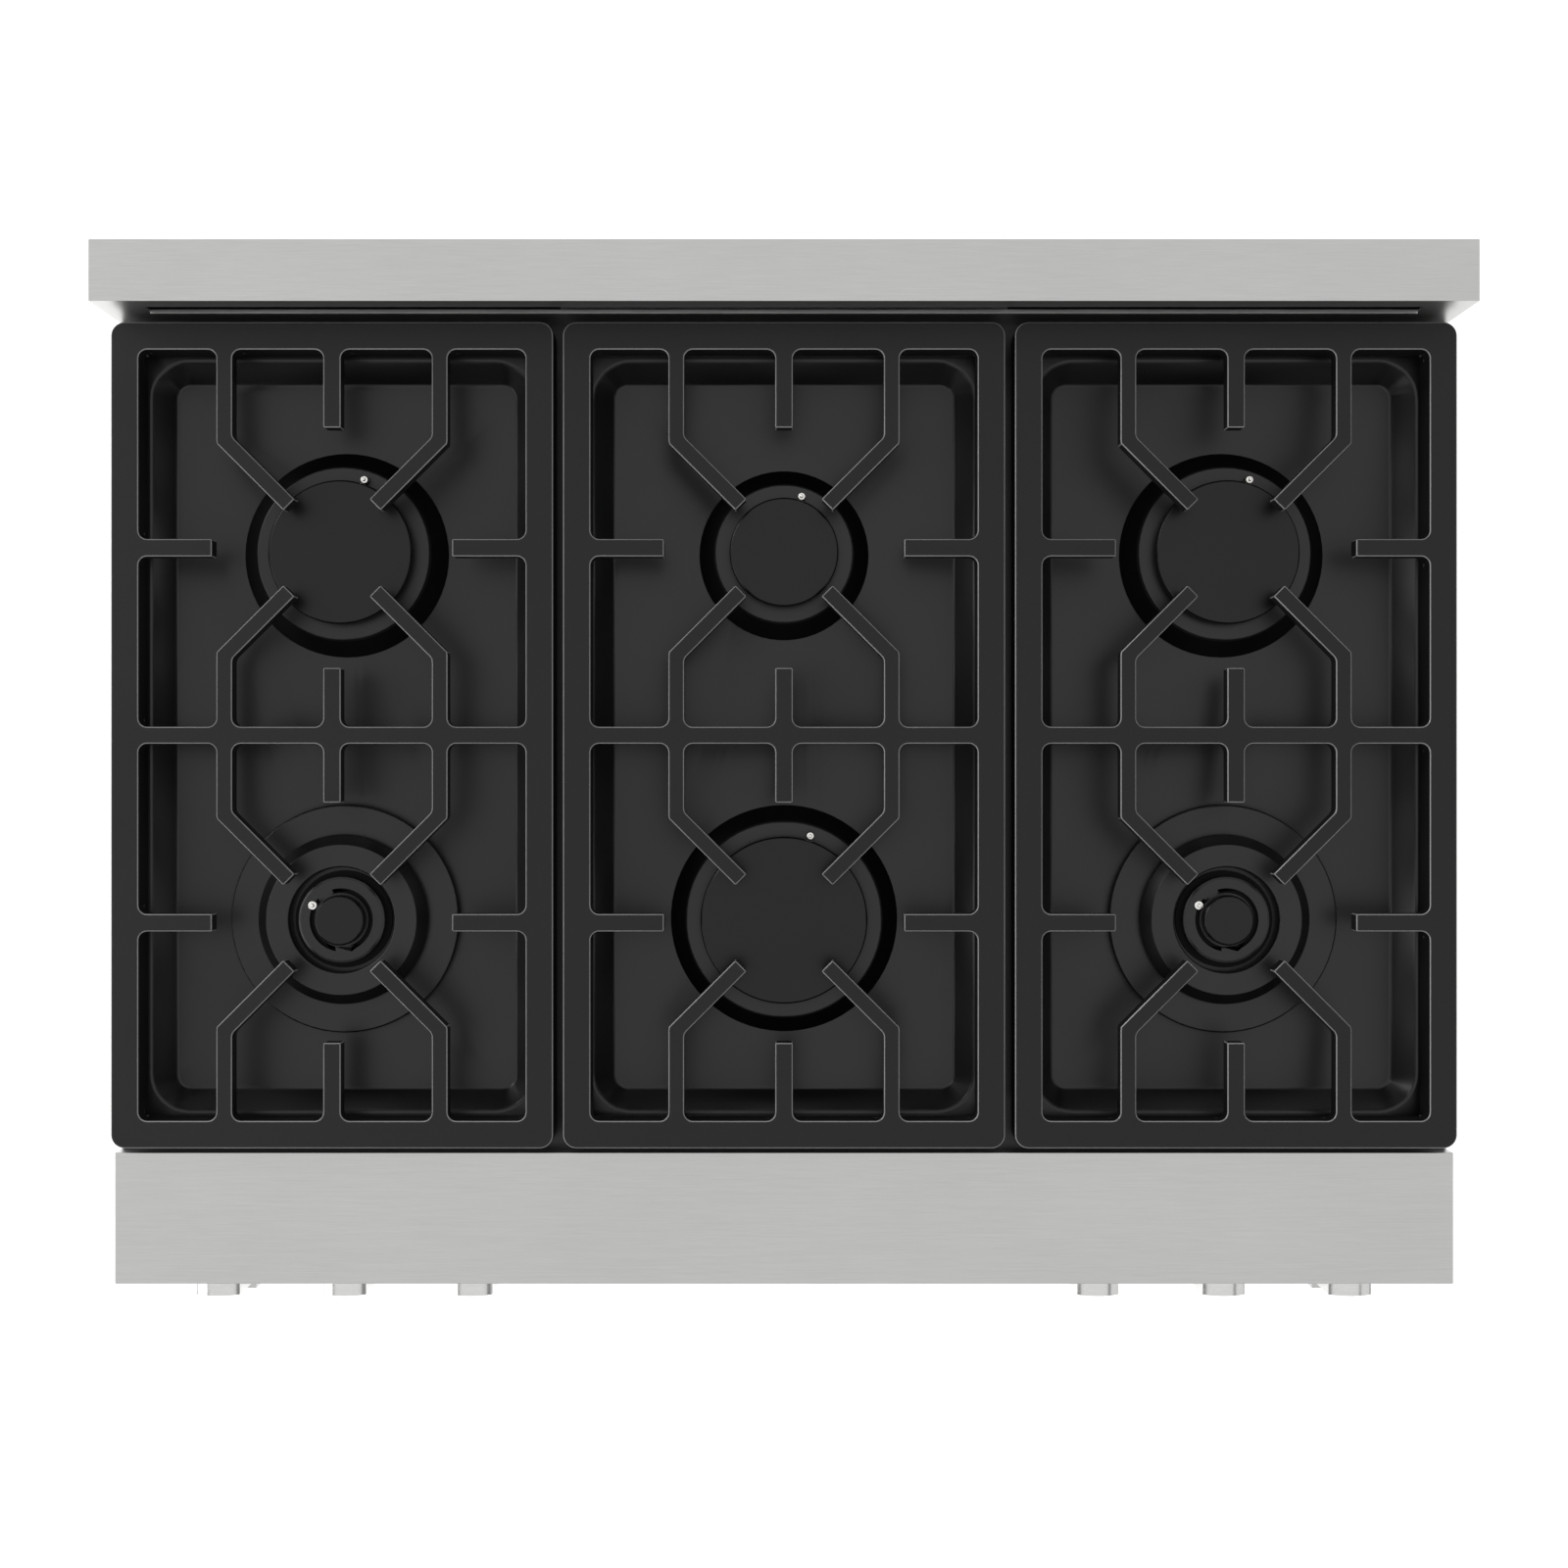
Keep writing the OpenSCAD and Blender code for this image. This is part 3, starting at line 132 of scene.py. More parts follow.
def enamel(name, darkHex, lightHex, rough, peel=4 * mm, peelDepth=0.012 * mm, speck=0.6 * mm, level=0.5):
    # porcelain fired on steel: deep even black, faint orange peel, a few fine specks
    finish, tree, shader, place = newFinish(
        name, {"Metallic": 0.0, "IOR": 1.5, "Specular IOR Level": level})
    waves = addNode(tree, "ShaderNodeTexNoise", {"Vector": place, "Scale": 1 / peel, "Detail": 2.0})
    specks = addNode(tree, "ShaderNodeTexNoise", {"Vector": place, "Scale": 1 / speck, "Detail": 1.0})
    mottle = addNode(tree, "ShaderNodeTexNoise", {"Vector": place, "Scale": 7.0, "Detail": 3.0})
    blend = addNode(tree, "ShaderNodeMapRange",
                    {"Value": specks.outputs[0], "From Min": 0.58, "From Max": 0.78, "To Max": 0.8})
    colour = addNode(tree, "ShaderNodeMix",
                     {0: blend.outputs[0], 6: linear(darkHex), 7: linear(lightHex)}, data_type="RGBA")
    gloss = addNode(tree, "ShaderNodeMapRange",
                    {"Value": mottle.outputs[0], "From Min": 0.3, "From Max": 0.7, "To Min": rough * 0.85,
                     "To Max": rough * 1.15})
    bump = addNode(tree, "ShaderNodeBump",
                   {"Height": waves.outputs[0], "Strength": 0.6, "Distance": peelDepth})
    tree.links.new(colour.outputs[2], shader.inputs["Base Color"])
    tree.links.new(gloss.outputs[0], shader.inputs["Roughness"])
    tree.links.new(bump.outputs[0], shader.inputs["Normal"])
    return finish


def castIron(name, darkHex, lightHex, grain=1.4 * mm, rough=(0.44, 0.52), level=0.36):
    # sand-cast iron under matt enamel: fine pebble and random lighter patches; a light grey copy serves as
    # a painted highlight on edge chamfers
    finish, tree, shader, place = newFinish(
        name, {"Metallic": 0.0, "IOR": 1.5, "Specular IOR Level": level})
    pebble = addNode(tree, "ShaderNodeTexNoise",
                     {"Vector": place, "Scale": 1 / grain, "Detail": 4.0, "Roughness": 0.6})
    patch = addNode(tree, "ShaderNodeTexNoise", {"Vector": place, "Scale": 14.0, "Detail": 3.0})
    both = addNode(tree, "ShaderNodeMath", {0: pebble.outputs[0], 1: patch.outputs[0]}, operation="ADD")
    blend = addNode(tree, "ShaderNodeMapRange",
                    {"Value": both.outputs[0], "From Min": 0.7, "From Max": 1.3})
    colour = addNode(tree, "ShaderNodeMix",
                     {0: blend.outputs[0], 6: linear(darkHex), 7: linear(lightHex)}, data_type="RGBA")
    gloss = addNode(tree, "ShaderNodeMapRange",
                    {"Value": patch.outputs[0], "From Min": 0.3, "From Max": 0.7, "To Min": rough[0],
                     "To Max": rough[1]})
    bump = addNode(tree, "ShaderNodeBump",
                   {"Height": pebble.outputs[0], "Strength": 0.35, "Distance": 0.12 * mm})
    tree.links.new(colour.outputs[2], shader.inputs["Base Color"])
    tree.links.new(gloss.outputs[0], shader.inputs["Roughness"])
    tree.links.new(bump.outputs[0], shader.inputs["Normal"])
    return finish


def plainMetal(name, hexColour, rough, grain=0.8 * mm):
    # cast, plated or galvanised metal with a fine even grain
    finish, tree, shader, place = newFinish(name, {"Metallic": 1.0})
    speckle = addNode(tree, "ShaderNodeTexNoise", {"Vector": place, "Scale": 1 / grain, "Detail": 3.0})
    cloud = addNode(tree, "ShaderNodeTexNoise", {"Vector": place, "Scale": 11.0, "Detail": 2.0})
    base = linear(hexColour)
    darker = [c * 0.9 for c in base[:3]] + [1.0]
    colour = addNode(tree, "ShaderNodeMix", {0: cloud.outputs[0], 6: darker, 7: base}, data_type="RGBA")
    gloss = addNode(tree, "ShaderNodeMapRange",
                    {"Value": speckle.outputs[0], "From Min": 0.3, "From Max": 0.7, "To Min": rough * 0.8,
                     "To Max": rough * 1.2})
    bump = addNode(tree, "ShaderNodeBump",
                   {"Height": speckle.outputs[0], "Strength": 0.15, "Distance": 0.04 * mm})
    tree.links.new(colour.outputs[2], shader.inputs["Base Color"])
    tree.links.new(gloss.outputs[0], shader.inputs["Roughness"])
    tree.links.new(bump.outputs[0], shader.inputs["Normal"])
    return finish


def softFibre(name, darkHex, lightHex, fibre=2 * mm):
    # spun mineral wool or braided glass rope: matt, with lighter strands
    finish, tree, shader, place = newFinish(name, {"Roughness": 0.95, "Sheen Weight": 0.3})
    strands = addNode(tree, "ShaderNodeTexWave",
                      {"Vector": place, "Scale": 1 / fibre / 6, "Distortion": 9.0, "Detail": 3.0})
    colour = addNode(tree, "ShaderNodeMix",
                     {0: strands.outputs[1], 6: linear(darkHex), 7: linear(lightHex)}, data_type="RGBA")
    bump = addNode(tree, "ShaderNodeBump",
                   {"Height": strands.outputs[1], "Strength": 0.5, "Distance": 0.4 * mm})
    tree.links.new(colour.outputs[2], shader.inputs["Base Color"])
    tree.links.new(bump.outputs[0], shader.inputs["Normal"])
    return finish


def glassSheet(name, tintHex, clear, rough=0.03):
    # tempered float glass: very smooth, dark because of what is behind it
    finish, tree, shader, place = newFinish(
        name, {"Base Color": linear(tintHex), "IOR": 1.5, "Transmission Weight": clear})
    smear = addNode(tree, "ShaderNodeTexNoise", {"Vector": place, "Scale": 25.0, "Detail": 4.0})
    gloss = addNode(tree, "ShaderNodeMapRange",
                    {"Value": smear.outputs[0], "From Min": 0.4, "From Max": 0.7, "To Min": rough,
                     "To Max": rough * 2.5})
    tree.links.new(gloss.outputs[0], shader.inputs["Roughness"])
    return finish


finishes = {
    "brushed_stainless": brushedStainless("brushedStainlessAcross", "x"),
    "galvanised_steel": plainMetal("galvanisedSteel", "#9c9d9b", 0.42, 3 * mm),
    "cooktop_enamel": enamel("cooktopEnamel", "#080809", "#141415", 0.34),
    "black_gloss_enamel": enamel("glossBlackEnamel", "#020202", "#070707", 0.3, level=0.36),
    "cast_iron_enamel": castIron("castIronMattEnamel", "#080808", "#111111"),
    "burner_alloy": plainMetal("dieCastAlloy", "#a8a8a6", 0.38),
    "rack_chrome": plainMetal("platedWire", "#cfcfcf", 0.16, 6 * mm),
    "dark_glass": glassSheet("ovenGlass", "#6a7074", 0.9),
    "electrode_ceramic": enamel("electrodeCeramic", "#5c5b58", "#74726e", 0.3),
    "mineral_wool": softFibre("mineralWool", "#a39a80", "#cfc7ac"),
    "gasket_rope": softFibre("glassFibreRope", "#4a4a48", "#7c7c78", 1.2 * mm),
    "black_screw": plainMetal("blackOxideSteel", "#262626", 0.3),
    "knob_metal": brushedStainless("satinKnobMetal", "x", 1.25, (0.16, 0.22)),
    "display_glass": glassSheet("displayGlass", "#08090b", 0.0),
}
sparkTip = plainMetal("electrodeTip", "#f4f2ee", 0.3)
# painted shade: near-black, barely reflective enamel for the burner throats and the sloped base rings
paintedShadeBlack = enamel("burnerPaintedShade", "#010101", "#040404", 0.5, level=0.12)
# painted highlight: a light grey copy of the cast iron for the grates' edge chamfers
grateEdgeHighlight = castIron("castIronPaintedEdgeHighlight", "#747474", "#8a8a8a", rough=(0.26, 0.34), level=0.5)
sideSteel = brushedStainless("brushedStainlessAlong", "y")
print("finishes made:", len(finishes))


# CAD shapes with their real edge rounding

def mergedCopy(nodeName, flat=1.0):
    mesh = nodes[nodeName].data.copy()
    mesh.name = nodeName + "Body"
    shape = bmesh.new()
    shape.from_mesh(mesh)
    bmesh.ops.remove_doubles(shape, verts=shape.verts, dist=0.002 * mm)
    bmesh.ops.dissolve_limit(shape, angle_limit=math.radians(flat), verts=shape.verts, edges=shape.edges)
    shape.to_mesh(mesh)
    shape.free()
    return mesh


def bakeShape(piece):
    view = bpy.context.evaluated_depsgraph_get()
    baked = bpy.data.meshes.new_from_object(piece.evaluated_get(view))
    piece.modifiers.clear()
    piece.data = baked
    return piece


def standIn(piece, nodeName):
    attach(piece, bodyOf[nodeName])
    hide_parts(nodeName)
    return piece


flatShadeFrom = 0.35 * mm  # smaller roundings belong to small turned shapes


def softened(nodeName, radius, segments=2, sharp=25, finish=None, edgeHighlight=None):
    piece = bpy.data.objects.new(nodeName + "_finished", mergedCopy(nodeName))
    bpy.context.scene.collection.objects.link(piece)
    piece.data.shade_smooth()
    piece.data.materials.clear()
    piece.data.materials.append(finish or finishes[slotOf[nodeName]])
    rounding = piece.modifiers.new("edges", "BEVEL")
    rounding.width = radius
    rounding.segments = segments
    rounding.limit_method = "ANGLE"
    rounding.angle_limit = math.radians(sharp)
    rounding.harden_normals = segments > 1
    rounding.miter_outer = "MITER_SHARP" if edgeHighlight else "MITER_ARC"
    # the bevel faces take a second finish: a painted highlight along the edges
    if edgeHighlight:
        piece.data.materials.append(edgeHighlight)
        rounding.material = 1
        rounding.use_clamp_overlap = False
    if segments > 1 and radius > flatShadeFrom:
        level = piece.modifiers.new("flatFaces", "WEIGHTED_NORMAL")  # broad faces shade flat
        level.weight = 100
    bakeShape(piece)
    if segments == 1:
        piece.data.set_sharp_from_angle(angle=math.radians(24))
    return standIn(piece, nodeName)


grateEdge = {"chamfer": 0.65 * mm}  # edge chamfer; its faces carry a painted highlight
for name in ("grate_left", "grate_middle", "grate_right"):
    softened(name, grateEdge["chamfer"], segments=1, sharp=40, edgeHighlight=grateEdgeHighlight)

edgeRadius = {
    "front_ledge": 0.5 * mm, "backguard": 0.5 * mm, "control_panel": 0.4 * mm, "kick_panel": 0.4 * mm,
    "door_skin": 0.5 * mm, "door_handle": 0.8 * mm, "door_glass": 0.6 * mm, "touch_display": 0.4 * mm,
    "door_liner": 0.5 * mm, "burner_bases": 0.5 * mm, "burner_heads": 0.3 * mm,
    "spark_electrodes": 0.3 * mm,
}
for name in nodes:
    if name.startswith("knob_"):
        edgeRadius[name] = 1.2 * mm
    if name.startswith(("burner_cap", "ring_cap", "inner_cap", "foot_")):
        edgeRadius[name] = 0.5 * mm
for name, radius in edgeRadius.items():
    softened(name, radius, finish=finishes["cooktop_enamel"] if name == "burner_bases" else None)
print("edges rounded:", len(edgeRadius))


# second finishes on some faces: a bright electrode tip, and painted shade in the burner throats and on the
# sloped base rings

def paint(nodeName, finish, test):
    piece = bpy.data.objects[nodeName + "_finished"]
    piece.data.materials.append(finish)
    last = len(piece.data.materials) - 1
    for face in piece.data.polygons:
        if all(test(piece.data.vertices[v].co) for v in face.vertices):
            face.material_index = last


powerSpots = [(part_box(n)[0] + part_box(n)[1]) / 2 for n in ("ring_cap_left", "ring_cap_right")]


def fromPower(point):
    return min(math.hypot(point.x - spot.x, point.y - spot.y) for spot in powerSpots)


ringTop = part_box("ring_cap_left")[1].z
spots = {"discEdge": 80 * mm, "throat": 35 * mm, "throatTop": ringTop - 3 * mm, "sparkNear": 40 * mm,
         "powerTip": ringTop + 1.4 * mm, "plainTip": ringTop - 0.1 * mm}
paint("spark_electrodes", sparkTip,
      lambda at: at.z > (spots["powerTip"] if fromPower(at) < spots["sparkNear"] else spots["plainTip"]))
# painted shade: the standard burners' base rings and the power burners' throats are painted near-black so
# that the slope and the depth look dark
paint("burner_bases", paintedShadeBlack, lambda at: fromPower(at) > spots["discEdge"])
paint("burner_heads", paintedShadeBlack, lambda at: fromPower(at) < spots["throat"] and at.z < spots["throatTop"])
print("burners blackened")


# cooktop pan: one pressing, so its wells have wide soft bends

panBends = {"rim": 3.4 * mm, "rest": 0.4 * mm, "floorShare": 0.75, "segments": 4}


def pressedPan(nodeName):
    mesh = mergedCopy(nodeName, flat=0.5)
    shape = bmesh.new()
    shape.from_mesh(mesh)
    weight = shape.edges.layers.float.new("bevel_weight_edge")
    rimZ = max(v.co.z for v in shape.verts)
    for edge in shape.edges:
        if len(edge.link_faces) != 2 or edge.calc_face_angle(0) < math.radians(20):
            continue
        tilts = sorted(face.normal.z for face in edge.link_faces)
        level = abs(edge.verts[0].co.z - edge.verts[1].co.z) < 0.05 * mm
        sloped = 0.2 < tilts[0] < 0.9 and tilts[1] > 0.95
        if level and sloped and abs(edge.verts[0].co.z - rimZ) < 0.1 * mm:
            edge[weight] = 1.0
        elif level and sloped:
            edge[weight] = panBends["floorShare"]
        else:
            edge[weight] = panBends["rest"] / panBends["rim"]
    shape.to_mesh(mesh)
    shape.free()
    piece = bpy.data.objects.new(nodeName + "_pressed", mesh)
    bpy.context.scene.collection.objects.link(piece)
    mesh.shade_smooth()
    bends = piece.modifiers.new("bends", "BEVEL")
    bends.width = panBends["rim"]
    bends.segments = panBends["segments"]
    bends.limit_method = "WEIGHT"
    bends.harden_normals = True
    bakeShape(piece)
    piece.data.materials.clear()
    piece.data.materials.append(finishes[slotOf[nodeName]])
    return standIn(piece, nodeName)


pressedPan("cooktop_pan")
print("pan pressed")


# repeated and swept pieces, grown by Geometry Nodes

def newTree(name, sizes):
    tree = bpy.data.node_groups.new(name, "GeometryNodeTree")
    tree.interface.new_socket("Geometry", in_out="OUTPUT", socket_type="NodeSocketGeometry")
    for label, value in sizes.items():
        kind = {int: "Int", tuple: "Vector"}.get(type(value), "Float")
        tree.interface.new_socket(label, in_out="INPUT", socket_type="NodeSocket" + kind)
    entry = addNode(tree, "NodeGroupInput")
    return tree, {label: entry.outputs[label] for label in sizes}


def closeTree(tree, geometry, finish):
    real = addNode(tree, "GeometryNodeRealizeInstances", {0: geometry})
    painted = addNode(tree, "GeometryNodeSetMaterial", {"Geometry": real.outputs[0], "Material": finish})
    addNode(tree, "NodeGroupOutput", {0: painted.outputs[0]})


def grow(name, tree, sizes):
    piece = bpy.data.objects.new(name, bpy.data.meshes.new(name))
    bpy.context.scene.collection.objects.link(piece)
    grower = piece.modifiers.new("grower", "NODES")
    grower.node_group = tree
    for socket in tree.interface.items_tree:
        if socket.item_type == "SOCKET" and socket.in_out == "INPUT":
            grower[socket.identifier] = sizes[socket.name]
    return bakeShape(piece)


# screws: domed head, cross recess, short shank

screws = {"Head": 4.5 * mm, "Height": 2.4 * mm, "Shank": 2.0 * mm, "Length": 12.0 * mm, "Recess": 1.1 * mm,
          "Reach": 5.0 * mm}
cutBlock = 20 * mm  # takes away the lower half of the dome


def screwShape(tree, size):
    head = addNode(tree, "GeometryNodeMeshUVSphere", {"Segments": 24, "Rings": 12, "Radius": size["Head"]})
    squash = addNode(tree, "ShaderNodeMath", {0: size["Height"], 1: size["Head"]}, operation="DIVIDE")
    flat = addNode(tree, "ShaderNodeCombineXYZ", {"X": 1.0, "Y": 1.0, "Z": squash.outputs[0]})
    dome = addNode(tree, "GeometryNodeTransform", {"Geometry": head.outputs[0], "Scale": flat.outputs[0]})
    down = addNode(tree, "ShaderNodeMath", {0: size["Length"], 1: -0.5}, operation="MULTIPLY")
    under = addNode(tree, "ShaderNodeCombineXYZ", {"Z": down.outputs[0]})
    shank = addNode(tree, "GeometryNodeMeshCylinder",
                    {"Vertices": 16, "Radius": size["Shank"], "Depth": size["Length"]})
    shankLow = addNode(tree, "GeometryNodeTransform",
                       {"Geometry": shank.outputs[0], "Translation": under.outputs[0]})
    block = addNode(tree, "GeometryNodeMeshCube", {"Size": (cutBlock, cutBlock, cutBlock)})
    blockLow = addNode(tree, "GeometryNodeTransform",
                       {"Geometry": block.outputs[0], "Translation": (0, 0, -cutBlock / 2)})
    top = addNode(tree, "ShaderNodeCombineXYZ", {"Z": size["Height"]})
    wingSize = addNode(tree, "ShaderNodeCombineXYZ",
                       {"X": size["Reach"], "Y": size["Recess"], "Z": size["Height"]})
    wing = addNode(tree, "GeometryNodeMeshCube", {"Size": wingSize.outputs[0]})
    wingUp = addNode(tree, "GeometryNodeTransform",
                     {"Geometry": wing.outputs[0], "Translation": top.outputs[0]})
    wingTurned = addNode(tree, "GeometryNodeTransform",
                         {"Geometry": wingUp.outputs[0], "Rotation": (0, 0, math.pi / 2)})
    cut = addNode(tree, "GeometryNodeMeshBoolean", {"Mesh 1": dome.outputs[0]}, operation="DIFFERENCE")
    for tool in (blockLow, wingUp, wingTurned):
        tree.links.new(tool.outputs[0], cut.inputs["Mesh 2"])
    whole = addNode(tree, "GeometryNodeJoinGeometry")
    tree.links.new(cut.outputs[0], whole.inputs[0])
    tree.links.new(shankLow.outputs[0], whole.inputs[0])
    return whole.outputs[0]


def scatterScrews(tree, spots, shape, lean, seed):
    anyTurn = addNode(tree, "FunctionNodeRandomValue", {"Seed": seed}, data_type="FLOAT")
    anyTurn.inputs[3].default_value = math.pi
    spin = addNode(tree, "ShaderNodeCombineXYZ", {"Z": anyTurn.outputs[1]})
    turned = addNode(tree, "GeometryNodeInstanceOnPoints", {"Points": spots, "Instance": shape})
    aimed = addNode(tree, "GeometryNodeRotateInstances", {"Instances": turned.outputs[0], "Rotation": lean})
    spun = addNode(tree, "GeometryNodeRotateInstances",
                   {"Instances": aimed.outputs[0], "Rotation": spin.outputs[0]})
    return spun.outputs[0]


guardLow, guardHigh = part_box("backguard_screws")
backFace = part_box("backguard")[1].y
guardRow = {"Count": 3, "First": (guardLow.x + screws["Head"], backFace, (guardLow.z + guardHigh.z) / 2),
            "Step": ((guardHigh.x - guardLow.x - 2 * screws["Head"]) / 2, 0.0, 0.0),
            "Lean": (-math.pi / 2, 0.0, 0.0), "Seed": 4, **screws}
rowTree, rowSize = newTree("screwRow", guardRow)
row = addNode(rowTree, "GeometryNodeMeshLine",
              {"Count": rowSize["Count"], "Start Location": rowSize["First"], "Offset": rowSize["Step"]})
closeTree(rowTree, scatterScrews(rowTree, row.outputs[0], screwShape(rowTree, rowSize), rowSize["Lean"],
                                 rowSize["Seed"]), finishes["black_screw"])
standIn(grow("backguardScrews", rowTree, guardRow), "backguard_screws")

rearLow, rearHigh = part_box("rear_panel")
edgeIn = 12 * mm  # screws stand this far in from the rear panel's edge
rearRing = {"Count": 22, "Width": rearHigh.x - rearLow.x - 2 * edgeIn,
            "Tall": rearHigh.z - rearLow.z - 2 * edgeIn,
            "Middle": (0.0, rearHigh.y, (rearLow.z + rearHigh.z) / 2),
            "Lean": (-math.pi / 2, 0.0, 0.0), "Seed": 9, **screws}
ringTree, ringSize = newTree("screwRing", rearRing)
path = addNode(ringTree, "GeometryNodeCurvePrimitiveQuadrilateral",
               {"Width": ringSize["Width"], "Height": ringSize["Tall"]})
dots = addNode(ringTree, "GeometryNodeCurveToPoints",
               {"Curve": path.outputs[0], "Count": ringSize["Count"]})
upright = addNode(ringTree, "GeometryNodeTransform",
                  {"Geometry": dots.outputs[0], "Translation": ringSize["Middle"],
                   "Rotation": (math.pi / 2, 0, 0)})
closeTree(ringTree, scatterScrews(ringTree, upright.outputs[0], screwShape(ringTree, ringSize),
                                  ringSize["Lean"], ringSize["Seed"]), finishes["black_screw"])
rearScrews = grow("rearPanelScrews", ringTree, rearRing)
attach(rearScrews, bodyOf["rear_panel"])
print("screws set")


def roundedLoop(tree, width, height, corner, steps):
    outline = addNode(tree, "GeometryNodeCurvePrimitiveQuadrilateral", {"Width": width, "Height": height})
    return addNode(tree, "GeometryNodeFilletCurve",
                   {"Curve": outline.outputs[0], "Radius": corner, "Count": steps}, mode="POLY")


# oven racks: a bent frame wire with thin wires welded across

rack = {"Frame wire": 7 * mm, "Thin wire": 4 * mm, "Corner": 14 * mm, "Wires": 27}


def wireRack(nodeName):
    low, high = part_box(nodeName)
    sizes = dict(rack)
    sizes["Width"] = high.x - low.x - sizes["Frame wire"]
    sizes["Depth"] = high.y - low.y - sizes["Frame wire"]
    sizes["Middle"] = tuple((low + high) / 2)
    tree, size = newTree(nodeName + "Wires", sizes)
    bent = roundedLoop(tree, size["Width"], size["Depth"], size["Corner"], 8)
    halfFrame = addNode(tree, "ShaderNodeMath", {0: size["Frame wire"], 1: 0.5}, operation="MULTIPLY")
    halfThin = addNode(tree, "ShaderNodeMath", {0: size["Thin wire"], 1: 0.5}, operation="MULTIPLY")
    thick = addNode(tree, "GeometryNodeCurvePrimitiveCircle",
                    {"Resolution": 16, "Radius": halfFrame.outputs[0]})
    thin = addNode(tree, "GeometryNodeCurvePrimitiveCircle",
                   {"Resolution": 12, "Radius": halfThin.outputs[0]})
    frameMesh = addNode(tree, "GeometryNodeCurveToMesh",
                        {"Curve": bent.outputs[0], "Profile Curve": thick.outputs[0]})
    back = addNode(tree, "ShaderNodeMath", {0: size["Depth"], 1: -0.5}, operation="MULTIPLY")
    front = addNode(tree, "ShaderNodeMath", {0: size["Depth"], 1: 0.5}, operation="MULTIPLY")
    backEnd = addNode(tree, "ShaderNodeCombineXYZ", {"Y": back.outputs[0]})
    frontEnd = addNode(tree, "ShaderNodeCombineXYZ", {"Y": front.outputs[0]})
    line = addNode(tree, "GeometryNodeCurvePrimitiveLine",
                   {"Start": backEnd.outputs[0], "End": frontEnd.outputs[0]})
    oneWire = addNode(tree, "GeometryNodeCurveToMesh",
                      {"Curve": line.outputs[0], "Profile Curve": thin.outputs[0], "Fill Caps": True})
    gaps = addNode(tree, "ShaderNodeMath", {0: size["Wires"], 1: 1.0}, operation="ADD")
    pitch = addNode(tree, "ShaderNodeMath", {0: size["Width"], 1: gaps.outputs[0]}, operation="DIVIDE")
    half = addNode(tree, "ShaderNodeMath", {0: size["Width"], 1: -0.5}, operation="MULTIPLY")
    firstX = addNode(tree, "ShaderNodeMath", {0: half.outputs[0], 1: pitch.outputs[0]}, operation="ADD")
    lift = addNode(tree, "ShaderNodeMath", {0: halfFrame.outputs[0], 1: halfThin.outputs[0]},
                   operation="SUBTRACT")
    start = addNode(tree, "ShaderNodeCombineXYZ", {"X": firstX.outputs[0], "Z": lift.outputs[0]})
    step = addNode(tree, "ShaderNodeCombineXYZ", {"X": pitch.outputs[0]})
    spread = addNode(tree, "GeometryNodeMeshLine",
                     {"Count": size["Wires"], "Start Location": start.outputs[0],
                      "Offset": step.outputs[0]})
    crossWires = addNode(tree, "GeometryNodeInstanceOnPoints",
                         {"Points": spread.outputs[0], "Instance": oneWire.outputs[0]})
    left = addNode(tree, "ShaderNodeCombineXYZ", {"X": half.outputs[0]})
    right = addNode(tree, "ShaderNodeVectorMath", {0: left.outputs[0], "Scale": -1.0}, operation="SCALE")
    middleLine = addNode(tree, "GeometryNodeCurvePrimitiveLine",
                         {"Start": left.outputs[0], "End": right.outputs[0]})
    middleWire = addNode(tree, "GeometryNodeCurveToMesh",
                         {"Curve": middleLine.outputs[0], "Profile Curve": thick.outputs[0],
                          "Fill Caps": True})
    whole = addNode(tree, "GeometryNodeJoinGeometry")
    for part in (frameMesh, crossWires, middleWire):
        tree.links.new(part.outputs[0], whole.inputs[0])
    put = addNode(tree, "GeometryNodeTransform",
                  {"Geometry": whole.outputs[0], "Translation": size["Middle"]})
    smooth = addNode(tree, "GeometryNodeSetShadeSmooth", {"Geometry": put.outputs[0]})
    closeTree(tree, smooth.outputs[0], finishes["rack_chrome"])
    standIn(grow(nodeName + "Wire", tree, sizes), nodeName)


wireRack("oven_rack_lower")
wireRack("oven_rack_upper")
print("racks wired")


# door seal: one length of braided glass rope round the opening

seal = {"Rope": 6 * mm, "Corner": 9 * mm, "Braid": 7 * mm, "Thin part": 0.9}


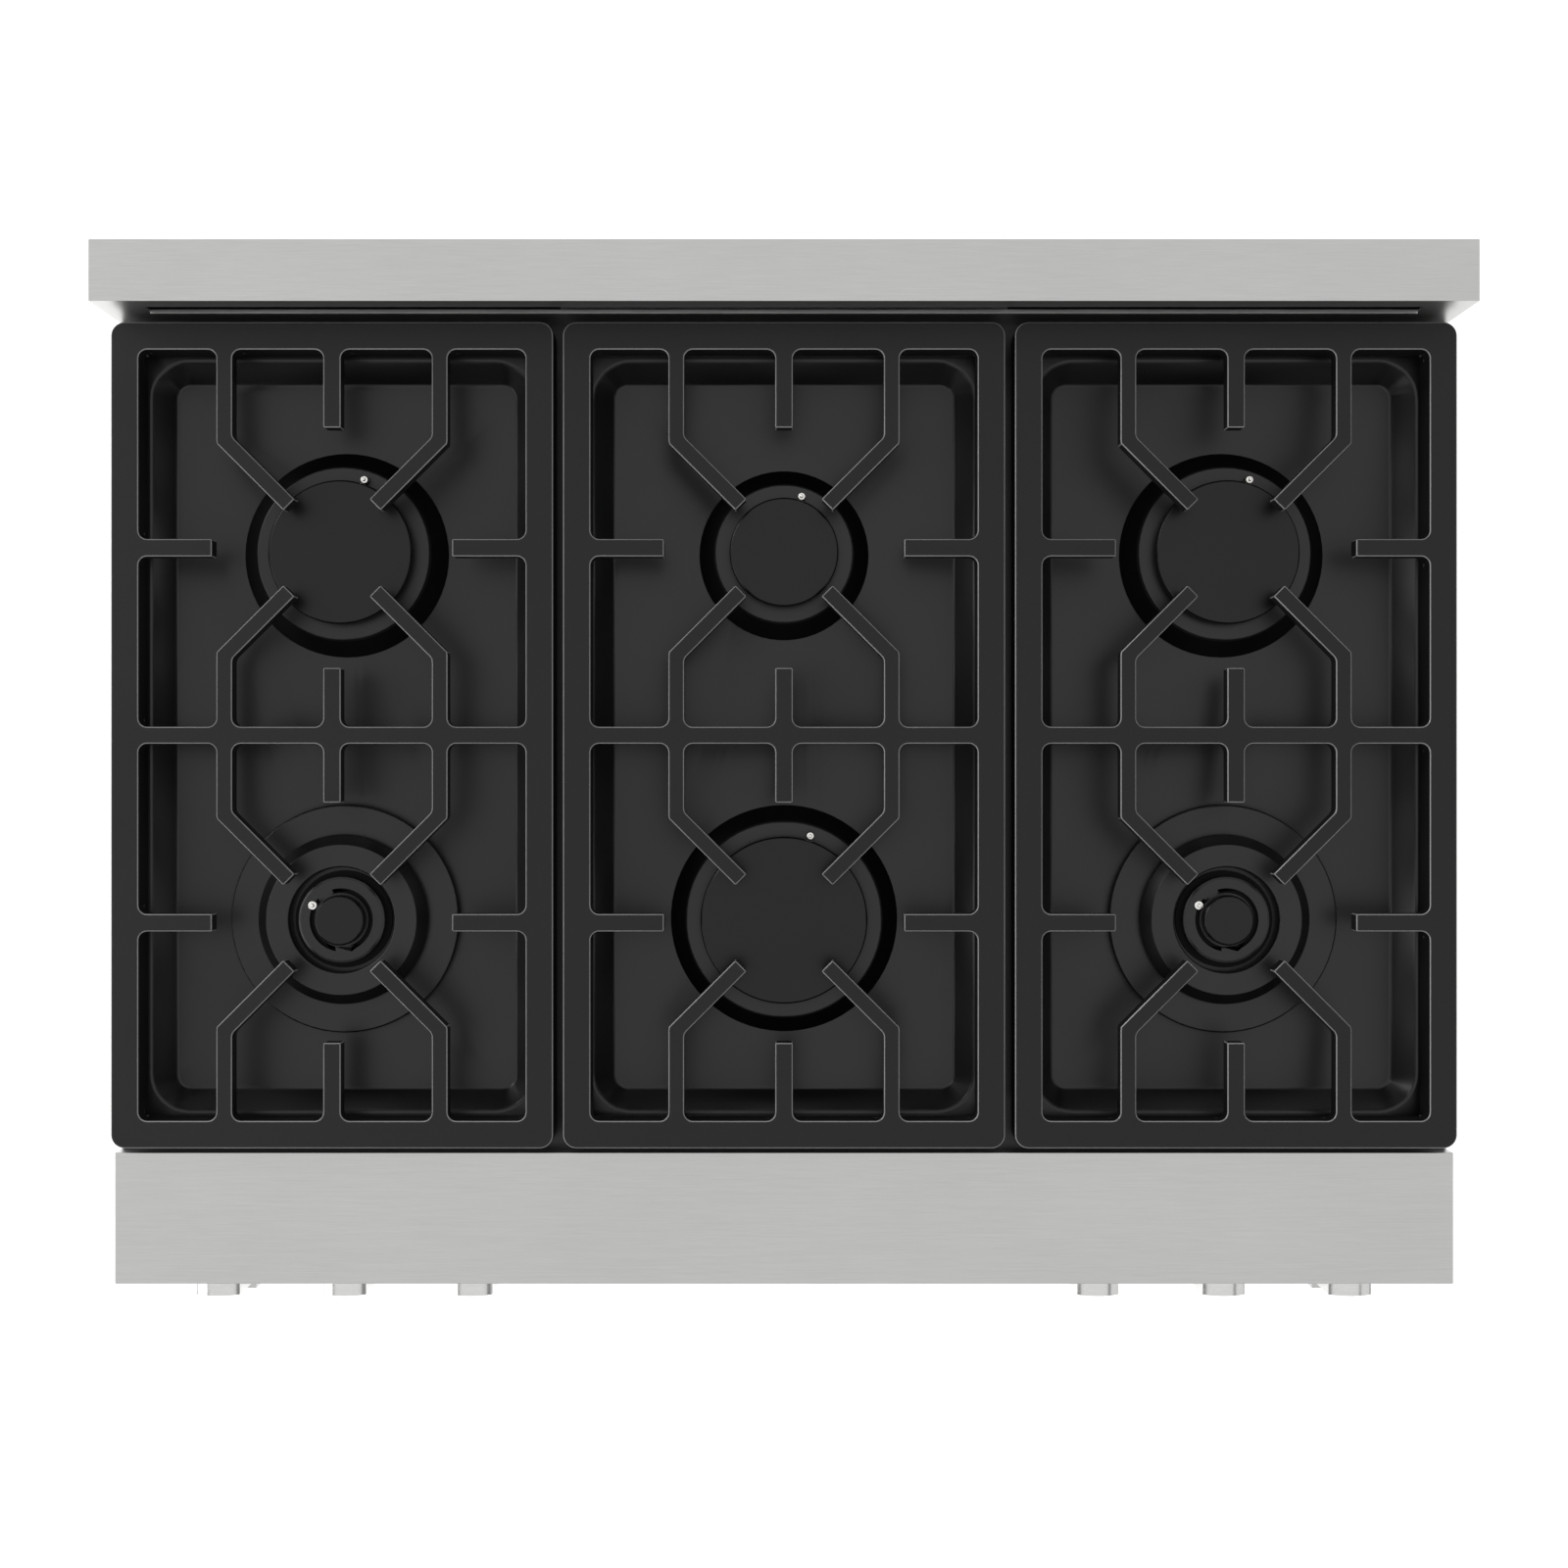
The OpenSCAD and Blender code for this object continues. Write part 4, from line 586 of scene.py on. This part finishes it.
def ropeSeal(nodeName):
    low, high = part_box(nodeName)
    sizes = {**seal, "Squash": (high.y - low.y) / seal["Rope"]}
    sizes["Width"] = high.x - low.x - sizes["Rope"]
    sizes["Tall"] = high.z - low.z - sizes["Rope"]
    sizes["Middle"] = tuple((low + high) / 2)
    tree, size = newTree("ropeSeal", sizes)
    bent = roundedLoop(tree, size["Width"], size["Tall"], size["Corner"], 10)
    fine = addNode(tree, "GeometryNodeResampleCurve", {"Curve": bent.outputs[0], "Count": 900})
    along = addNode(tree, "GeometryNodeSplineParameter")
    often = addNode(tree, "ShaderNodeMath", {0: 2 * math.pi, 1: size["Braid"]}, operation="DIVIDE")
    wave = addNode(tree, "ShaderNodeMath", {0: along.outputs["Length"], 1: often.outputs[0]},
                   operation="MULTIPLY")
    swell = addNode(tree, "ShaderNodeMath", {0: wave.outputs[0]}, operation="SINE")
    plump = addNode(tree, "ShaderNodeMapRange",
                    {"Value": swell.outputs[0], "From Min": -1.0, "From Max": 1.0,
                     "To Min": size["Thin part"], "To Max": 1.0})
    halfRope = addNode(tree, "ShaderNodeMath", {0: size["Rope"], 1: 0.5}, operation="MULTIPLY")
    ring = addNode(tree, "GeometryNodeCurvePrimitiveCircle",
                   {"Resolution": 12, "Radius": halfRope.outputs[0]})
    tube = addNode(tree, "GeometryNodeCurveToMesh",
                   {"Curve": fine.outputs[0], "Profile Curve": ring.outputs[0], "Scale": plump.outputs[0]})
    flat = addNode(tree, "ShaderNodeCombineXYZ", {"X": 1.0, "Y": 1.0, "Z": size["Squash"]})
    pressed = addNode(tree, "GeometryNodeTransform",
                      {"Geometry": tube.outputs[0], "Scale": flat.outputs[0]})
    put = addNode(tree, "GeometryNodeTransform",
                  {"Geometry": pressed.outputs[0], "Translation": size["Middle"],
                   "Rotation": (math.pi / 2, 0, 0)})
    smooth = addNode(tree, "GeometryNodeSetShadeSmooth", {"Geometry": put.outputs[0]})
    closeTree(tree, smooth.outputs[0], finishes["gasket_rope"])
    standIn(grow("doorSealRope", tree, sizes), nodeName)


ropeSeal("door_gasket")
print("door sealed")


# mineral wool: a blanket with an uneven face

wool = {"longest": 42 * mm, "hollow": 1.6 * mm, "lumpsPerMetre": 22}


def woolBlanket(nodeName):
    piece = bpy.data.objects.new("woolBlanket", mergedCopy(nodeName))
    bpy.context.scene.collection.objects.link(piece)
    fine = bmesh.new()
    fine.from_mesh(piece.data)
    bmesh.ops.triangulate(fine, faces=fine.faces)
    for turn in range(6):
        longEdges = [e for e in fine.edges if e.calc_length() > wool["longest"]]
        if not longEdges:
            break
        bmesh.ops.subdivide_edges(fine, edges=longEdges, cuts=1)
        bmesh.ops.triangulate(fine, faces=fine.faces)
    fine.normal_update()
    for v in fine.verts:
        v.co -= v.normal * wool["hollow"] * (0.5 + 0.5 * noise.noise(v.co * wool["lumpsPerMetre"]))
    fine.to_mesh(piece.data)
    fine.free()
    piece.data.shade_smooth()
    piece.data.set_sharp_from_angle(angle=math.radians(50))
    piece.data.materials.clear()
    piece.data.materials.append(finishes["mineral_wool"])
    standIn(piece, nodeName)


woolBlanket("oven_insulation")
print("oven wrapped")


# the CAD shapes that stay get their finish

replaced = {"grate_left", "grate_middle", "grate_right", "cooktop_pan", "backguard_screws",
            "oven_rack_lower", "oven_rack_upper", "door_gasket", "oven_insulation"} | set(edgeRadius)
for name, node in nodes.items():
    if name in replaced:
        continue
    node.data.materials.clear()
    node.data.materials.append(sideSteel if name.startswith("side_panel") else finishes[slotOf[name]])


# floor, walls of light and the sky

studio = {"floor": 14.0, "floorColour": "#f6f6f4", "sky": 0.22, "topSize": 7.0, "topHeight": 4.4,
          "topGlow": 0.72, "wallSize": (5.0, 1.2), "wallHeight": 1.5, "wallAway": 4.0,
          "wallGlow": {"left": 2.2, "right": 0.7, "front": 0.9, "rear": 1.6}, "sideSize": (2.6, 0.8),
          "sideAway": 1.5, "sideHeight": 1.4, "keySize": 1.0, "keyGlow": 6.0, "keyPlace": (-3.0, 2.0, 2.2),
          "paperGlow": 0.7, "aim": (0, 0, 0.9)}
floorMesh = bpy.data.meshes.new("studioFloor")
half = studio["floor"] / 2
corners = [(-half, -half, 0), (half, -half, 0), (half, half, 0), (-half, half, 0)]
floorMesh.from_pydata(corners, [], [(0, 1, 2, 3)])
floor = bpy.data.objects.new("studioFloor", floorMesh)
bpy.context.scene.collection.objects.link(floor)
floorFinish, floorTree, floorShader, floorPlace = newFinish(
    "studioPaper", {"Base Color": linear(studio["floorColour"]), "Roughness": 0.9,
                    "Emission Color": (1, 1, 1, 1), "Emission Strength": studio["paperGlow"]})
floorMesh.materials.append(floorFinish)


def softLight(name, size, glow, location, target):
    lamp = bpy.data.lights.new(name, "AREA")
    lamp.shape = "RECTANGLE"
    lamp.size, lamp.size_y = size
    lamp.energy = glow * math.pi * size[0] * size[1]  # so that glow is how bright the panel looks
    lampObject = bpy.data.objects.new(name, lamp)
    lampObject.location = location
    aim = Vector(target) - Vector(location)
    lampObject.rotation_euler = aim.to_track_quat("-Z", "Y").to_euler()
    lampObject.visible_camera = False
    bpy.context.scene.collection.objects.link(lampObject)


softLight("topSoftbox", (studio["topSize"], studio["topSize"]), studio["topGlow"],
          (0, 0, studio["topHeight"]), (0, 0, 0))
softLight("keySoftbox", (studio["keySize"], studio["keySize"]), studio["keyGlow"], studio["keyPlace"],
          studio["aim"])
away, tall = studio["wallAway"], studio["wallHeight"]
for side, spot in {"front": (0, -away, tall), "rear": (0, away, tall)}.items():
    softLight(side + "Panel", studio["wallSize"], studio["wallGlow"][side], spot, studio["aim"])
for side, x in {"left": -studio["sideAway"], "right": studio["sideAway"]}.items():
    softLight(side + "Panel", studio["sideSize"], studio["wallGlow"][side], (x, 0, studio["sideHeight"]),
              studio["aim"])
sky = bpy.data.worlds.new("studioSky")
sky.use_nodes = True
sky.node_tree.nodes["Background"].inputs["Color"].default_value = (1, 1, 1, 1)
sky.node_tree.nodes["Background"].inputs["Strength"].default_value = studio["sky"]
bpy.context.scene.world = sky
bpy.context.scene.view_settings.view_transform = "Standard"
print("studio ready")
